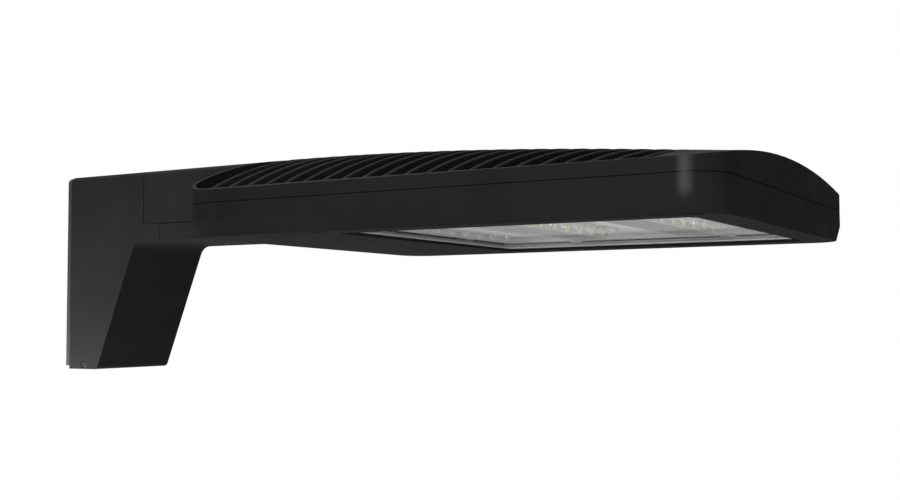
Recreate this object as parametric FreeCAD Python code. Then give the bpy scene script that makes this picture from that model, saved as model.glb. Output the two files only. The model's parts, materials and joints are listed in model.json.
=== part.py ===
# Shoebox area light: a finned LED head on a bracket arm that bolts to a square pole.
#
# Units are millimetres and +Z is up. The origin is the centre of the pole mounting face,
# +X runs from the pole to the front of the head, and the object is alike on both sides of Y = 0.
# Heights named *_RISE or *_DROP are measured from the parting plane, where the finned
# housing above meets the drop-down door below.

import FreeCAD, Part
import math
import os

Vector = FreeCAD.Vector
X_AXIS = Vector(1, 0, 0)
Y_AXIS = Vector(0, 1, 0)
Z_AXIS = Vector(0, 0, 1)

# ---- Driving dimensions: the head ----
PARTING_Z = 42.0
HEAD_REAR_X = 250.0
HEAD_LENGTH = 414.0
HEAD_WIDTH = 343.0
HEAD_CORNER_R = 25.0
RIM_RISE = 9.5
CROWN_RISE_FRONT = 24.2
CROWN_RISE_MIDDLE = 43.6
CROWN_RISE_REAR = 49.2
HOUSING_WALL = 7.5
REAR_WALL = 6.0
THROAT_DROP = 5.0

# ---- Driving dimensions: the heat-sink fins ----
FIN_COUNT = 21
FIN_PITCH = 16.7
FIRST_FIN_X = 279.7
FIN_TIP = 1.8
FIN_ROOT = 3.2
FIN_RIM_WALL = 2.4
LED_FLOOR_RISE = 8.5
DRIVER_FLOOR_RISE = 27.0
DRIVER_BAY_FINS = 5
BASE_PLATE = 4.5

# ---- Driving dimensions: the arm and neck ----
ARM_WIDTH = 93.0
ARM_TOP_RISE = 47.5
ARM_BOTTOM_DROP = 131.2
ARM_FOOT_X = 39.6
ARM_BEND_X = 85.4
NECK_DROP = 15.5
SEAM_X = 94.8
LEDGE_X = 114.2
ARM_WALL = 4.5
ARM_BACK = 6.0
FLANGE_WALL = 6.0
TOP_EDGE_WIDE = 7.0
TOP_EDGE_HIGH = 4.0
BEND_R = 12.0
FOOT_R = 5.0
POLE_GASKET = 4.5
POLE_GASKET_MARGIN = 3.0
NECK_GASKET = 0.8
NECK_GASKET_INSET = 2.0
NECK_END_WALL = 8.0
NECK_WASHER = 1.2
NECK_BOLT_LENGTH = 20.0
NECK_BOLT_Y = 30.0
NECK_BOLT_RISES = (9.0, 35.0)
WIRE_WINDOW_HALF = 22.0
WIRE_WINDOW_RISES = (10.0, 34.0)

# ---- Driving dimensions: the pole fixing and the wire entry ----
POLE_BOLT_SPACING = 101.6
POLE_BOLT_HOLE_R = 6.75
WIRE_HOLE_R = 14.0
GROMMET_BORE_R = 10.0
GROMMET_LIP = 3.0
GROMMET_LIP_THICK = 2.5
GROMMET_RECESS = 1.0

# ---- Driving dimensions: the cover of the arm's foot ----
COVER_RISE = 1.0
COVER_THICK = 2.5
COVER_TAB_HIGH = 11.0
COVER_SCREW_X = 22.7
COVER_SCREW_RISE = 4.3
COVER_SCREW_R = 1.6
COVER_SCREW_HEAD_R = 3.15
COVER_SCREW_SINK = 1.8
COVER_SCREW_LENGTH = 6.0

# ---- Driving dimensions: the door and its window ----
DOOR_GAP = 0.5
DOOR_CREASE_DROP = 12.8
DOOR_DROP = 24.8
DOOR_SIDE_INSET = 7.4
DOOR_END_INSET = 2.0
DOOR_WALL = 3.5
DOOR_PLATE = 2.5
DOOR_FLANGE = 7.5
DOOR_FLANGE_THICK = 3.5
WINDOW_REAR_X = 371.5
WINDOW_FRONT_BEZEL = 27.0
WINDOW_SIDE_BEZEL = 33.0
WINDOW_CORNER_R = 7.0
GLASS = 3.2
GLASS_LAP = 8.0
GASKET_UNDER = 1.0
GASKET_EDGE = 2.0
GASKET_SETBACK = 1.5
CLIP_THICK = 1.2
CLIP_WIDE = 12.0
CLIP_FOOT = 3.5
CLIP_REACH = 9.5
CLIP_SCREW_OUT = 4.5
CLIP_SPACING_X = 138.0
CLIP_SPACING_Y = 140.0
SEAL_INSET = 2.6
SEAL_WIDTH = 3.0
SEAL_DEEP = 2.0
SEAL_CLEARANCE = 0.1
SEAL_PLAY = 0.05

# ---- Driving dimensions: the hinge ----
PIN_R = 1.5
PIN_LENGTH = 20.0
PIN_CLEARANCE = 0.05
KNUCKLE_R = 3.5
LUG_WIDTH = 8.0
LUG_CENTRE_Y = 32.0
LUG_CLEARANCE = 0.4
PIN_END_PLAY = 0.3
TONGUE_REAR_WALL = 2.5

# ---- Driving dimensions: the LED modules ----
FRONT_RAIL_SETBACK = 69.5
RAIL_SPACING = 97.0
RAIL_WIDTH = 28.0
RAIL_END_GAP = 12.5
RAIL_EAR = 12.0
RAIL_EAR_SETBACK = 4.0
RAIL_DROP = 17.2
RAIL_SHOULDER_DROP = 7.6
RAIL_FACE_LEAN = 3.0
RAIL_WALL = 2.4
REAR_RAIL_SETBACK = 3.5
REAR_RAIL_DROP = 10.0
REAR_LED_SHARE = 0.45
LED_COUNT = 10
LED_END = 14.4
LED_SIZE = 7.0
LED_THICK = 0.9
BOARD = 1.6
LENS_R = 5.0
LENS_BASE = 1.2
LENS_GAP = 0.6
LENS_RIM = 0.5
REAR_LENS_R = 4.0
REAR_LENS_BASE = 0.6
BOARD_END = 2.0
BOARD_EDGE = 1.0
PANEL_DROP = 9.0
PANEL = 1.0
PANEL_LAP_REAR = 5.5
PANEL_LAP_FRONT = 8.0
PANEL_LAP_SIDE = 9.5
PANEL_RIM = 7.6
PANEL_SLOT_GAP = 1.0
PANEL_SLOT_FRONT = 4.0
STANDOFF_R = 4.5
STANDOFF_REAR = 36.0
STANDOFF_FRONT = 17.0
STANDOFF_SIDE = 8.0

# ---- Driving dimensions: the electrical gear ----
DRIVER_X = 312.0
DRIVER_WIDTH = 54.0
DRIVER_LENGTH = 170.0
DRIVER_HIGH = 30.0
DRIVER_EDGE_R = 3.0
DRIVER_EAR = 2.0
DRIVER_EAR_WIDE = 28.0
DRIVER_EAR_LONG = 13.0
DRIVER_EAR_HOLE = 7.0
DRIVER_PLATE_RISE = 12.5
DRIVER_PLATE = 1.5
DRIVER_PLATE_SIDE = 4.0
DRIVER_PLATE_END = 29.0
DRIVER_BOSS_IN = (9.0, 8.0)
GEAR_RISE = 30.0
GEAR_FOOT = 2.0
GEAR_FOOT_WIDE = 12.0
GEAR_FOOT_LONG = 11.0
SURGE_X = 212.0
SURGE_LONG = 34.0
SURGE_WIDE = 46.0
SURGE_HIGH = 26.0
SURGE_CORNER_R = 4.0
BLOCK_X = 150.0
BLOCK_POLES = 5
BLOCK_PITCH = 9.5
BLOCK_LONG = 20.0
BLOCK_HIGH = 17.0
WELL_WIDE = 6.4
WELL_DEEP = 6.0
WELL_DROP = 5.0
WELL_HIGH = 9.0
CLAMP_R = 2.3
CLAMP_DROP = 10.0
CLAMP_SLOT = 0.8
GEAR_HOLE_OUT = 6.0
GROUND_X = 182.0
EAR_BOSS_R = 4.0

# ---- Driving dimensions: screws ----
DOOR_SCREW_FRONT_IN = (18.0, 13.1)
DOOR_SCREW_REAR_IN = (7.5, 15.9)
DOOR_SCREW_R = 2.0
DOOR_SCREW_HEAD_R = 3.75
DOOR_SCREW_HEAD = 2.6
DOOR_SCREW_SLOT = 1.0
DOOR_SCREW_GRIP = 6.0
DOOR_SCREW_PLAY = 0.9
DOOR_SCREW_SINK = 3.2
BOSS_R = 5.5
SMALL_SCREW_R = 1.5
SMALL_HEAD_R = 2.8
SMALL_HEAD = 1.8
SMALL_SCREW_LENGTH = 5.5
SCREW_PLAY = 0.05
NECK_BOLT_R = 3.0
NECK_BOLT_HEAD_R = 5.0
NECK_BOLT_HEAD = 6.0
CLIP_SCREW_R = 1.25
CLIP_SCREW_LENGTH = 5.0
CLIP_POST_R = 3.8
FIT = 0.3

# ---- Sizes worked out from those above ----
HEAD_FRONT_X = HEAD_REAR_X + HEAD_LENGTH
HEAD_HALF = HEAD_WIDTH / 2
ARM_HALF = ARM_WIDTH / 2
ARM_TOP_Z = PARTING_Z + ARM_TOP_RISE
ARM_BOTTOM_Z = PARTING_Z - ARM_BOTTOM_DROP
NECK_Z = PARTING_Z - NECK_DROP
DOOR_TOP_Z = PARTING_Z - DOOR_GAP
DOOR_CREASE_Z = PARTING_Z - DOOR_CREASE_DROP
DOOR_BOTTOM_Z = PARTING_Z - DOOR_DROP
DOOR_FLOOR_Z = DOOR_BOTTOM_Z + DOOR_PLATE
CEILING_Z = PARTING_Z + LED_FLOOR_RISE - BASE_PLATE
WINDOW_FRONT_X = HEAD_FRONT_X - WINDOW_FRONT_BEZEL
WINDOW_HALF = HEAD_HALF - WINDOW_SIDE_BEZEL
GLASS_BOTTOM_Z = DOOR_FLOOR_Z + GASKET_UNDER
GLASS_TOP_Z = GLASS_BOTTOM_Z + GLASS
DOOR_SCREW_SEAT_Z = DOOR_BOTTOM_Z + DOOR_SCREW_SINK
HINGE_X = LEDGE_X + LUG_CLEARANCE + KNUCKLE_R
HINGE_Z = NECK_Z + KNUCKLE_R
PANEL_Z = PARTING_Z - PANEL_DROP
NECK_REAR_X = SEAM_X + NECK_GASKET
NECK_CEILING_Z = ARM_TOP_Z - HOUSING_WALL
NECK_BOLT_YZ = [(y, PARTING_Z + rise) for y in (-NECK_BOLT_Y, NECK_BOLT_Y) for rise in NECK_BOLT_RISES]
POLE_BOLT_Z = (-POLE_BOLT_SPACING / 2, POLE_BOLT_SPACING / 2)
COVER_SCREW_Z = ARM_BOTTOM_Z + COVER_SCREW_RISE
DRIVER_CROWN_Z = PARTING_Z + DRIVER_FLOOR_RISE - BASE_PLATE
LAST_FIN_X = FIRST_FIN_X + (FIN_COUNT - 1) * FIN_PITCH
DRIVER_BAY_FRONT_X = FIRST_FIN_X + DRIVER_BAY_FINS * FIN_PITCH - FIN_ROOT
DOOR_SCREW_XY = (
    (HEAD_FRONT_X - DOOR_SCREW_FRONT_IN[0], HEAD_HALF - DOOR_SCREW_FRONT_IN[1]),
    (WINDOW_REAR_X - DOOR_SCREW_REAR_IN[0], HEAD_HALF - DOOR_SCREW_REAR_IN[1]),
)
RAIL_FACE_X = (WINDOW_FRONT_X - FRONT_RAIL_SETBACK, WINDOW_FRONT_X - FRONT_RAIL_SETBACK - RAIL_SPACING)
RAIL_HALF = WINDOW_HALF - RAIL_END_GAP
RAIL_EAR_Y = RAIL_HALF + RAIL_EAR / 2
REAR_RAIL_X = WINDOW_REAR_X - REAR_RAIL_SETBACK
REAR_LED_X = REAR_RAIL_X + RAIL_WIDTH * REAR_LED_SHARE
LED_PITCH = 2 * (RAIL_HALF - LED_END) / (LED_COUNT - 1)
BOARD_HALF = RAIL_HALF - BOARD_END
PANEL_REAR_X = WINDOW_REAR_X - PANEL_LAP_REAR
PANEL_FRONT_X = WINDOW_FRONT_X + PANEL_LAP_FRONT
PANEL_HALF = WINDOW_HALF + PANEL_LAP_SIDE
STANDOFF_ENDS = (PANEL_REAR_X + STANDOFF_REAR, PANEL_FRONT_X - STANDOFF_FRONT)
STANDOFF_X = (STANDOFF_ENDS[0], sum(STANDOFF_ENDS) / 2, STANDOFF_ENDS[1])
STANDOFF_Y = PANEL_HALF - STANDOFF_SIDE
STANDOFF_XY = [(x, y) for x in STANDOFF_X for y in (-STANDOFF_Y, STANDOFF_Y)]
DRIVER_PLATE_HALF = (DRIVER_WIDTH / 2 + DRIVER_PLATE_SIDE, DRIVER_LENGTH / 2 + DRIVER_PLATE_END)
DRIVER_BOSS_OUT = DRIVER_PLATE_HALF[0] - DRIVER_BOSS_IN[0]
DRIVER_BOSS_Y = DRIVER_PLATE_HALF[1] - DRIVER_BOSS_IN[1]
DRIVER_BOSS_X = (DRIVER_X - DRIVER_BOSS_OUT, DRIVER_X + DRIVER_BOSS_OUT)
DRIVER_BOSS_XY = [(x, y) for x in DRIVER_BOSS_X for y in (-DRIVER_BOSS_Y, DRIVER_BOSS_Y)]
DRIVER_EAR_Y = DRIVER_LENGTH / 2 + DRIVER_EAR_HOLE
DRIVER_TOP_Z = PARTING_Z + DRIVER_PLATE_RISE - DRIVER_PLATE
GEAR_Z = PARTING_Z + GEAR_RISE
BLOCK_HALF = BLOCK_POLES * BLOCK_PITCH / 2
SURGE_HOLES = [(SURGE_X, side * (SURGE_WIDE / 2 + GEAR_HOLE_OUT)) for side in (-1, 1)]
BLOCK_HOLES = [(BLOCK_X, side * (BLOCK_HALF + GEAR_HOLE_OUT)) for side in (-1, 1)]


# ---- Small building functions ----
def box(x0, x1, y0, y1, z0, z1):
    return Part.makeBox(x1 - x0, y1 - y0, z1 - z0, Vector(x0, y0, z0))


def rod(start, direction, radius, length):
    return Part.makeCylinder(radius, length, start, direction)


def bar(start, direction, radius, length, sides=8, turn=0.5):
    """A many-sided bar, radius to its corners: how small screws, posts and washers are drawn."""
    side = Vector(direction.y, direction.z, direction.x)
    other = direction.cross(side)
    angles = [2 * math.pi * (i + turn) / sides for i in range(sides)]
    corners = [start + side * (radius * math.cos(a)) + other * (radius * math.sin(a)) for a in angles]
    return prism(corners, direction * length)


def small_hole(start, direction, radius, length):
    """A six-sided hole whose flats clear a shank of the given radius."""
    return bar(start, direction, radius / math.cos(math.pi / 6), length, 6)


def prism(points, direction):
    """A closed straight-sided outline pushed along one direction."""
    wire = Part.makePolygon(list(points) + [points[0]])
    return Part.Face(wire).extrude(direction)


def prism_along_y(xz_points, half_width):
    points = [Vector(x, -half_width, z) for x, z in xz_points]
    return prism(points, Y_AXIS * (2 * half_width))


def mirrored(shape):
    """The same shape on the other side of the centre plane."""
    return shape.mirror(Vector(0, 0, 0), Y_AXIS)


def both_sides(shape):
    return [shape, mirrored(shape)]


def fused(shapes):
    return shapes[0].multiFuse(list(shapes[1:])).removeSplitter()


def rounded_outline(x0, x1, half_width, radius, z):
    """A rectangle with rounded corners, as a wire lying at height z."""
    k = radius * (1 - math.sqrt(0.5))
    y = half_width
    corners = (
        ((x1 - radius, -y), (x1 - k, -y + k), (x1, -y + radius)),
        ((x1, y - radius), (x1 - k, y - k), (x1 - radius, y)),
        ((x0 + radius, y), (x0 + k, y - k), (x0, y - radius)),
        ((x0, -y + radius), (x0 + k, -y + k), (x0 + radius, -y)),
    )
    edges = []
    for here, following in zip(corners, corners[1:] + corners[:1]):
        a, b, c = [Vector(px, py, z) for px, py in here]
        edges.append(Part.Arc(a, b, c).toShape())
        edges.append(Part.LineSegment(c, Vector(following[0][0], following[0][1], z)).toShape())
    return Part.Wire(edges)


def rounded_plate(x0, x1, half_width, radius, z0, z1):
    outline = rounded_outline(x0, x1, half_width, radius, z0)
    return Part.Face(outline).extrude(Z_AXIS * (z1 - z0))


def head_block(inset, z0, z1):
    """The head's plan, drawn in by inset all round, between two heights."""
    radius = HEAD_CORNER_R - min(inset, HEAD_CORNER_R - 4.0)
    return rounded_plate(HEAD_REAR_X + inset, HEAD_FRONT_X - inset, HEAD_HALF - inset, radius, z0, z1)


def arch_points(half_width, side_z, crown_z):
    """Three points of the arch that spans the head from side to side, given at full width."""
    rise = crown_z - side_z
    radius = (HEAD_HALF**2 + rise**2) / (2 * rise)
    end_z = crown_z - radius + math.sqrt(radius**2 - half_width**2)
    return ((-half_width, end_z), (0.0, crown_z), (half_width, end_z))


def arch_outline(x, half_width, side_z, crown_z, base_z):
    """An arch closed by a straight line at base_z, standing across the head at x."""
    a, b, c = [Vector(x, y, z) for y, z in arch_points(half_width, side_z, crown_z)]
    left, right = Vector(x, -half_width, base_z), Vector(x, half_width, base_z)
    edges = [
        Part.LineSegment(left, a).toShape(),
        Part.Arc(a, b, c).toShape(),
        Part.LineSegment(c, right).toShape(),
        Part.LineSegment(right, left).toShape(),
    ]
    return Part.Wire(edges)


def arch_block(x0, x1, half_width, side_z, crown_z, base_z):
    """The space between an arch and a flat base; the base may lie under or over the arch."""
    outline = arch_outline(x0, half_width, side_z, crown_z, base_z)
    return Part.Face(outline).extrude(X_AXIS * (x1 - x0))


def crown_z(x):
    """Height of the head's centre line, a parabola through its rear, middle and front."""
    t = (HEAD_FRONT_X - x) / HEAD_LENGTH
    front = CROWN_RISE_FRONT * (1 - t) * (1 - 2 * t)
    middle = CROWN_RISE_MIDDLE * 4 * t * (1 - t)
    rear = CROWN_RISE_REAR * t * (2 * t - 1)
    return PARTING_Z + front + middle + rear


def neck_section(x, inset, base_z):
    """The neck's cross-section: straight sides and a top with elliptical edges."""
    y = ARM_HALF - inset
    top = ARM_TOP_Z - inset
    shoulder = top - TOP_EDGE_HIGH
    flat = y - TOP_EDGE_WIDE
    lean = math.sqrt(0.5)
    far_side = Vector(x, y, shoulder)
    far_top = Vector(x, flat, top)
    far_mid = Vector(x, flat + TOP_EDGE_WIDE * lean, shoulder + TOP_EDGE_HIGH * lean)
    near_side, near_top, near_mid = [Vector(x, -p.y, p.z) for p in (far_side, far_top, far_mid)]
    far_base, near_base = Vector(x, y, base_z), Vector(x, -y, base_z)
    edges = [
        Part.LineSegment(far_base, far_side).toShape(),
        Part.Arc(far_side, far_mid, far_top).toShape(),
        Part.LineSegment(far_top, near_top).toShape(),
        Part.Arc(near_top, near_mid, near_side).toShape(),
        Part.LineSegment(near_side, near_base).toShape(),
        Part.LineSegment(near_base, far_base).toShape(),
    ]
    return Part.Wire(edges)


def neck_block(x0, x1, inset, base_z):
    return Part.Face(neck_section(x0, inset, base_z)).extrude(X_AXIS * (x1 - x0))


def screw(seat, direction, radius, head_radius, head, length, head_sides=6):
    """A screw whose head rests on seat and whose shank runs along direction."""
    shank = bar(seat, direction, radius, length, 6)
    cap = bar(seat - direction * head, direction, head_radius, head, head_sides)
    return shank.fuse(cap)


# ---- The arm ----
def slant_x(z, inset=0.0):
    """Where the arm's slanted front face lies at height z, moved inwards by inset."""
    run = ARM_BEND_X - ARM_FOOT_X
    rise = NECK_Z - ARM_BOTTOM_Z
    sideways = inset * math.hypot(run, rise) / rise
    return ARM_FOOT_X + run * (z - ARM_BOTTOM_Z) / rise - sideways


def edges_along_y_near(shape, x, z, reach=0.5):
    """Edges that run straight across the arm through the point (x, z)."""
    found = []
    for edge in shape.Edges:
        ends = [v.Point for v in edge.Vertexes]
        if len(ends) == 2 and all(math.hypot(p.x - x, p.z - z) < reach for p in ends):
            found.append(edge)
    return found


def arm_outer():
    side = (
        (POLE_GASKET, ARM_BOTTOM_Z),
        (ARM_FOOT_X, ARM_BOTTOM_Z),
        (ARM_BEND_X, NECK_Z),
        (LEDGE_X, NECK_Z),
        (LEDGE_X, PARTING_Z),
        (SEAM_X, PARTING_Z),
        (SEAM_X, ARM_TOP_Z + 1),
        (POLE_GASKET, ARM_TOP_Z + 1),
    )
    body = prism_along_y(side, ARM_HALF)
    body = body.makeFillet(BEND_R, edges_along_y_near(body, ARM_BEND_X, NECK_Z))
    body = body.makeFillet(FOOT_R, edges_along_y_near(body, ARM_FOOT_X, ARM_BOTTOM_Z))
    return body.common(neck_block(0, HEAD_REAR_X, 0, ARM_BOTTOM_Z - 1))


def arm_chamber():
    """The wiring space: open at the foot, it widens up to the flange behind the neck."""
    low = ARM_BOTTOM_Z - 1
    knee_z = NECK_Z + ARM_WALL
    top = ARM_TOP_Z - ARM_WALL
    side = (
        (POLE_GASKET + ARM_BACK, low),
        (slant_x(low, ARM_WALL), low),
        (slant_x(knee_z, ARM_WALL), knee_z),
        (SEAM_X - FLANGE_WALL, knee_z),
        (SEAM_X - FLANGE_WALL, top),
        (POLE_GASKET + ARM_BACK, top),
    )
    return prism_along_y(side, ARM_HALF - ARM_WALL)


def ledge_pocket():
    front = LEDGE_X - ARM_WALL - 1.0
    half = ARM_HALF - ARM_WALL
    return box(SEAM_X + 1, front, -half, half, NECK_Z + ARM_WALL, PARTING_Z + 1)


def hinge_lug(y):
    low, high = y - LUG_WIDTH / 2, y + LUG_WIDTH / 2
    nose = rod(Vector(HINGE_X, low, HINGE_Z), Y_AXIS, KNUCKLE_R, LUG_WIDTH)
    root = box(LEDGE_X - 1, HINGE_X, low, high, HINGE_Z - KNUCKLE_R, HINGE_Z + KNUCKLE_R)
    bore = rod(Vector(HINGE_X, low - 1, HINGE_Z), Y_AXIS, PIN_R, LUG_WIDTH + 2)
    return nose.fuse(root).cut(bore)


def pole_holes(x0, x1):
    bolts = [rod(Vector(x0, 0, z), X_AXIS, POLE_BOLT_HOLE_R, x1 - x0) for z in POLE_BOLT_Z]
    wires = bar(Vector(x0, 0, 0), X_AXIS, WIRE_HOLE_R, x1 - x0, 24)
    return bolts + [wires]


def wire_window(x0, x1):
    low, high = [PARTING_Z + rise for rise in WIRE_WINDOW_RISES]
    return box(x0, x1, -WIRE_WINDOW_HALF, WIRE_WINDOW_HALF, low, high)


def cover_screw_holes():
    start = Vector(COVER_SCREW_X, -ARM_HALF - 1, COVER_SCREW_Z)
    hole = small_hole(start, Y_AXIS, COVER_SCREW_R + FIT, ARM_WALL + 2)
    sink = bar(start, Y_AXIS, COVER_SCREW_HEAD_R + FIT, COVER_SCREW_SINK + 1, 12)
    return both_sides(hole.fuse(sink))


def arm_casting():
    body = arm_outer().cut(arm_chamber()).cut(ledge_pocket())
    x0 = SEAM_X - FLANGE_WALL - 1
    radius = NECK_BOLT_R + FIT
    bolts = [small_hole(Vector(x0, y, z), X_AXIS, radius, FLANGE_WALL + 2) for y, z in NECK_BOLT_YZ]
    cuts = pole_holes(0, POLE_GASKET + ARM_BACK + 1) + bolts + cover_screw_holes()
    body = body.cut(cuts + [wire_window(x0, SEAM_X + 1)])
    lugs = [hinge_lug(-LUG_CENTRE_Y), hinge_lug(LUG_CENTRE_Y)]
    return fused([body] + lugs)


def pole_gasket():
    low = ARM_BOTTOM_Z + POLE_GASKET_MARGIN
    body = neck_block(0, POLE_GASKET, 0.6, low)
    return body.cut(pole_holes(-1, POLE_GASKET + 1))


def wire_grommet():
    """A rubber bush whose groove grips the edge of the wire hole in the arm's back."""
    inner_x = POLE_GASKET + ARM_BACK
    length = inner_x + GROMMET_LIP_THICK - GROMMET_RECESS
    sleeve = bar(Vector(GROMMET_RECESS, 0, 0), X_AXIS, WIRE_HOLE_R, length, 24)
    lip = bar(Vector(inner_x, 0, 0), X_AXIS, WIRE_HOLE_R + GROMMET_LIP, GROMMET_LIP_THICK, 24)
    bore = rod(Vector(0, 0, 0), X_AXIS, GROMMET_BORE_R, inner_x + GROMMET_LIP_THICK + 1)
    return sleeve.fuse(lip).cut(bore)


def arm_cover():
    """The foot's cover: a plate with two turned-up sides that take the cheek screws."""
    low = ARM_BOTTOM_Z + COVER_RISE
    high = low + COVER_THICK
    half = ARM_HALF - ARM_WALL - FIT
    rear = POLE_GASKET + ARM_BACK + FIT
    front = slant_x(low, ARM_WALL) - FIT
    side = ((rear, low), (front, low), (slant_x(high, ARM_WALL) - FIT, high), (rear, high))
    plate = prism_along_y(side, half)
    tab = box(rear, front, -half, -half + COVER_THICK, low, low + COVER_TAB_HIGH)
    start = Vector(COVER_SCREW_X, -half - 1, COVER_SCREW_Z)
    hole = small_hole(start, Y_AXIS, COVER_SCREW_R, COVER_SCREW_LENGTH)
    body = fused([plate] + both_sides(tab))
    return body.cut(both_sides(hole))


def arm_cover_screws():
    seat = Vector(COVER_SCREW_X, -ARM_HALF + COVER_SCREW_SINK, COVER_SCREW_Z)
    size = (COVER_SCREW_R, COVER_SCREW_HEAD_R, COVER_SCREW_SINK - 0.2, COVER_SCREW_LENGTH)
    return Part.makeCompound(both_sides(screw(seat, Y_AXIS, *size, 12)))


def neck_gasket():
    """A thin sheet between the arm's flange and the end of the neck."""
    body = neck_block(SEAM_X, NECK_REAR_X, NECK_GASKET_INSET, PARTING_Z + NECK_GASKET_INSET)
    length = NECK_GASKET + 2
    radius = NECK_BOLT_R + FIT
    bolts = [small_hole(Vector(SEAM_X - 1, y, z), X_AXIS, radius, length) for y, z in NECK_BOLT_YZ]
    return body.cut(bolts + [wire_window(SEAM_X - 1, NECK_REAR_X + 1)])


def neck_washers():
    x = SEAM_X - FLANGE_WALL - NECK_WASHER
    rings = []
    for y, z in NECK_BOLT_YZ:
        disc = bar(Vector(x, y, z), X_AXIS, NECK_BOLT_HEAD_R + 1.0, NECK_WASHER, 12)
        rings.append(disc.cut(small_hole(Vector(x - 1, y, z), X_AXIS, NECK_BOLT_R + FIT, NECK_WASHER + 2)))
    return Part.makeCompound(rings)


def neck_bolts():
    """Hexagon bolts that draw the neck against the arm from inside the wiring chamber."""
    x = SEAM_X - FLANGE_WALL - NECK_WASHER
    size = (NECK_BOLT_R, NECK_BOLT_HEAD_R, NECK_BOLT_HEAD, NECK_BOLT_LENGTH)
    return Part.makeCompound([screw(Vector(x, y, z), X_AXIS, *size) for y, z in NECK_BOLT_YZ])


# ---- The finned housing ----
def fin_x(index):
    return FIRST_FIN_X + index * FIN_PITCH


def fin_gap(x0, x1, floor_rise):
    """The tapered space between two fins, down to a flat floor."""
    floor = PARTING_Z + floor_rise
    top = PARTING_Z + CROWN_RISE_REAR + 6.0
    lean = (FIN_ROOT - FIN_TIP) / 2
    root = FIN_ROOT / 2
    side = ((x0 + root, floor), (x1 - root, floor), (x1 - root + lean, top), (x0 + root - lean, top))
    return prism_along_y(side, HEAD_HALF)


def fin_gaps():
    """All the spaces cut between the rear rim, the fins and the front cap."""
    rear_rim_x = HEAD_REAR_X + FIN_RIM_WALL - FIN_ROOT / 2
    stations = [rear_rim_x] + [fin_x(i) for i in range(FIN_COUNT)] + [LAST_FIN_X + FIN_PITCH * 0.6]
    top = PARTING_Z + CROWN_RISE_REAR + 8.0
    over_driver = arch_block(
        HEAD_REAR_X - 1, DRIVER_BAY_FRONT_X + 8.0, HEAD_HALF + 5,
        PARTING_Z + LED_FLOOR_RISE, PARTING_Z + DRIVER_FLOOR_RISE, top,
    )
    gaps = []
    for x0, x1 in zip(stations, stations[1:]):
        gap = fin_gap(x0, x1, LED_FLOOR_RISE)
        if x0 < DRIVER_BAY_FRONT_X - FIN_PITCH / 2:
            gap = gap.common(over_driver)
        gaps.append(gap)
    reach = head_block(FIN_RIM_WALL, PARTING_Z, top)
    return [gap.common(reach) for gap in gaps]


def crowned_block():
    """The head's outer form: arches lofted from rear to front, cut to the head's plan."""
    over = 6.0
    steps = 6
    start, span = HEAD_REAR_X - over, HEAD_LENGTH + 2 * over
    sections = []
    for i in range(steps + 1):
        x = start + span * i / steps
        sections.append(arch_outline(x, HEAD_HALF + over, PARTING_Z + RIM_RISE, crown_z(x), PARTING_Z))
    loft = Part.makeLoft(sections, True, False)
    return loft.common(head_block(0, PARTING_Z - 1, PARTING_Z + CROWN_RISE_REAR + 20))


def boss(x, y, radius, z0, z1):
    return bar(Vector(x, y, z0), Z_AXIS, radius, z1 - z0, 8)


def drill(x, y, radius, z0, z1):
    return small_hole(Vector(x, y, z0), Z_AXIS, radius, z1 - z0)


def housing_cavities():
    """The LED bay's shallow recess, the deeper driver bay and front pocket, and the throat."""
    inside = head_block(HOUSING_WALL, PARTING_Z - 1, PARTING_Z + CROWN_RISE_REAR)
    side_z = CEILING_Z
    led_bay = head_block(HOUSING_WALL, PARTING_Z - 1, CEILING_Z)
    driver_bay = arch_block(
        HEAD_REAR_X + REAR_WALL, DRIVER_BAY_FRONT_X, HEAD_HALF, side_z, DRIVER_CROWN_Z, PARTING_Z - 1
    ).common(inside)
    pocket_rear = LAST_FIN_X + FIN_PITCH
    pocket_crown = PARTING_Z + CROWN_RISE_FRONT - BASE_PLATE
    front_pocket = arch_block(
        pocket_rear, HEAD_FRONT_X, HEAD_HALF, side_z, pocket_crown, PARTING_Z - 1
    ).common(inside)
    half = ARM_HALF - HOUSING_WALL
    throat_top = DRIVER_CROWN_Z - THROAT_DROP
    throat = box(HEAD_REAR_X - 1, HEAD_REAR_X + HOUSING_WALL + 1, -half, half, PARTING_Z - 1, throat_top)
    return [led_bay, driver_bay, front_pocket, throat]


def screw_holes_in_housing():
    top = PARTING_Z + DOOR_SCREW_GRIP + 1.5
    radius = DOOR_SCREW_R + DOOR_SCREW_PLAY
    holes = []
    for x, y in DOOR_SCREW_XY:
        holes += both_sides(drill(x, y, radius, PARTING_Z - 1, top))
    return holes


def driver_ceiling_z(y):
    """Height of the driver bay's arched ceiling at y."""
    return arch_points(y, CEILING_Z, DRIVER_CROWN_Z)[0][1]


def head_bosses():
    """Pads and posts cast into the head's ceiling for everything that hangs under it."""
    posts = []
    for x, y in DOOR_SCREW_XY:
        posts += both_sides(boss(x, y, BOSS_R, PARTING_Z, CEILING_Z + 1))
    posts += [boss(x, y, STANDOFF_R, PANEL_Z + PANEL, CEILING_Z + 1) for x, y in STANDOFF_XY]
    plate_top = PARTING_Z + DRIVER_PLATE_RISE
    for x, y in DRIVER_BOSS_XY:
        posts.append(boss(x, y, EAR_BOSS_R, plate_top, driver_ceiling_z(y) + BASE_PLATE / 2))
    return posts


def neck_bosses():
    """Posts in the neck's ceiling for the surge protector, the terminal block and the ground."""
    places = SURGE_HOLES + BLOCK_HOLES + [(GROUND_X, 0.0)]
    return [boss(x, y, EAR_BOSS_R, GEAR_Z, NECK_CEILING_Z + 1) for x, y in places]


def seal_loop(inset, z0, z1):
    """The line of the door's seal: round the head and on round the neck."""
    rear = HINGE_X + 1.5 + inset
    half = ARM_HALF - inset
    return fused([head_block(inset, z0, z1), box(rear, HEAD_REAR_X + 30, -half, half, z0, z1)])


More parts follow.
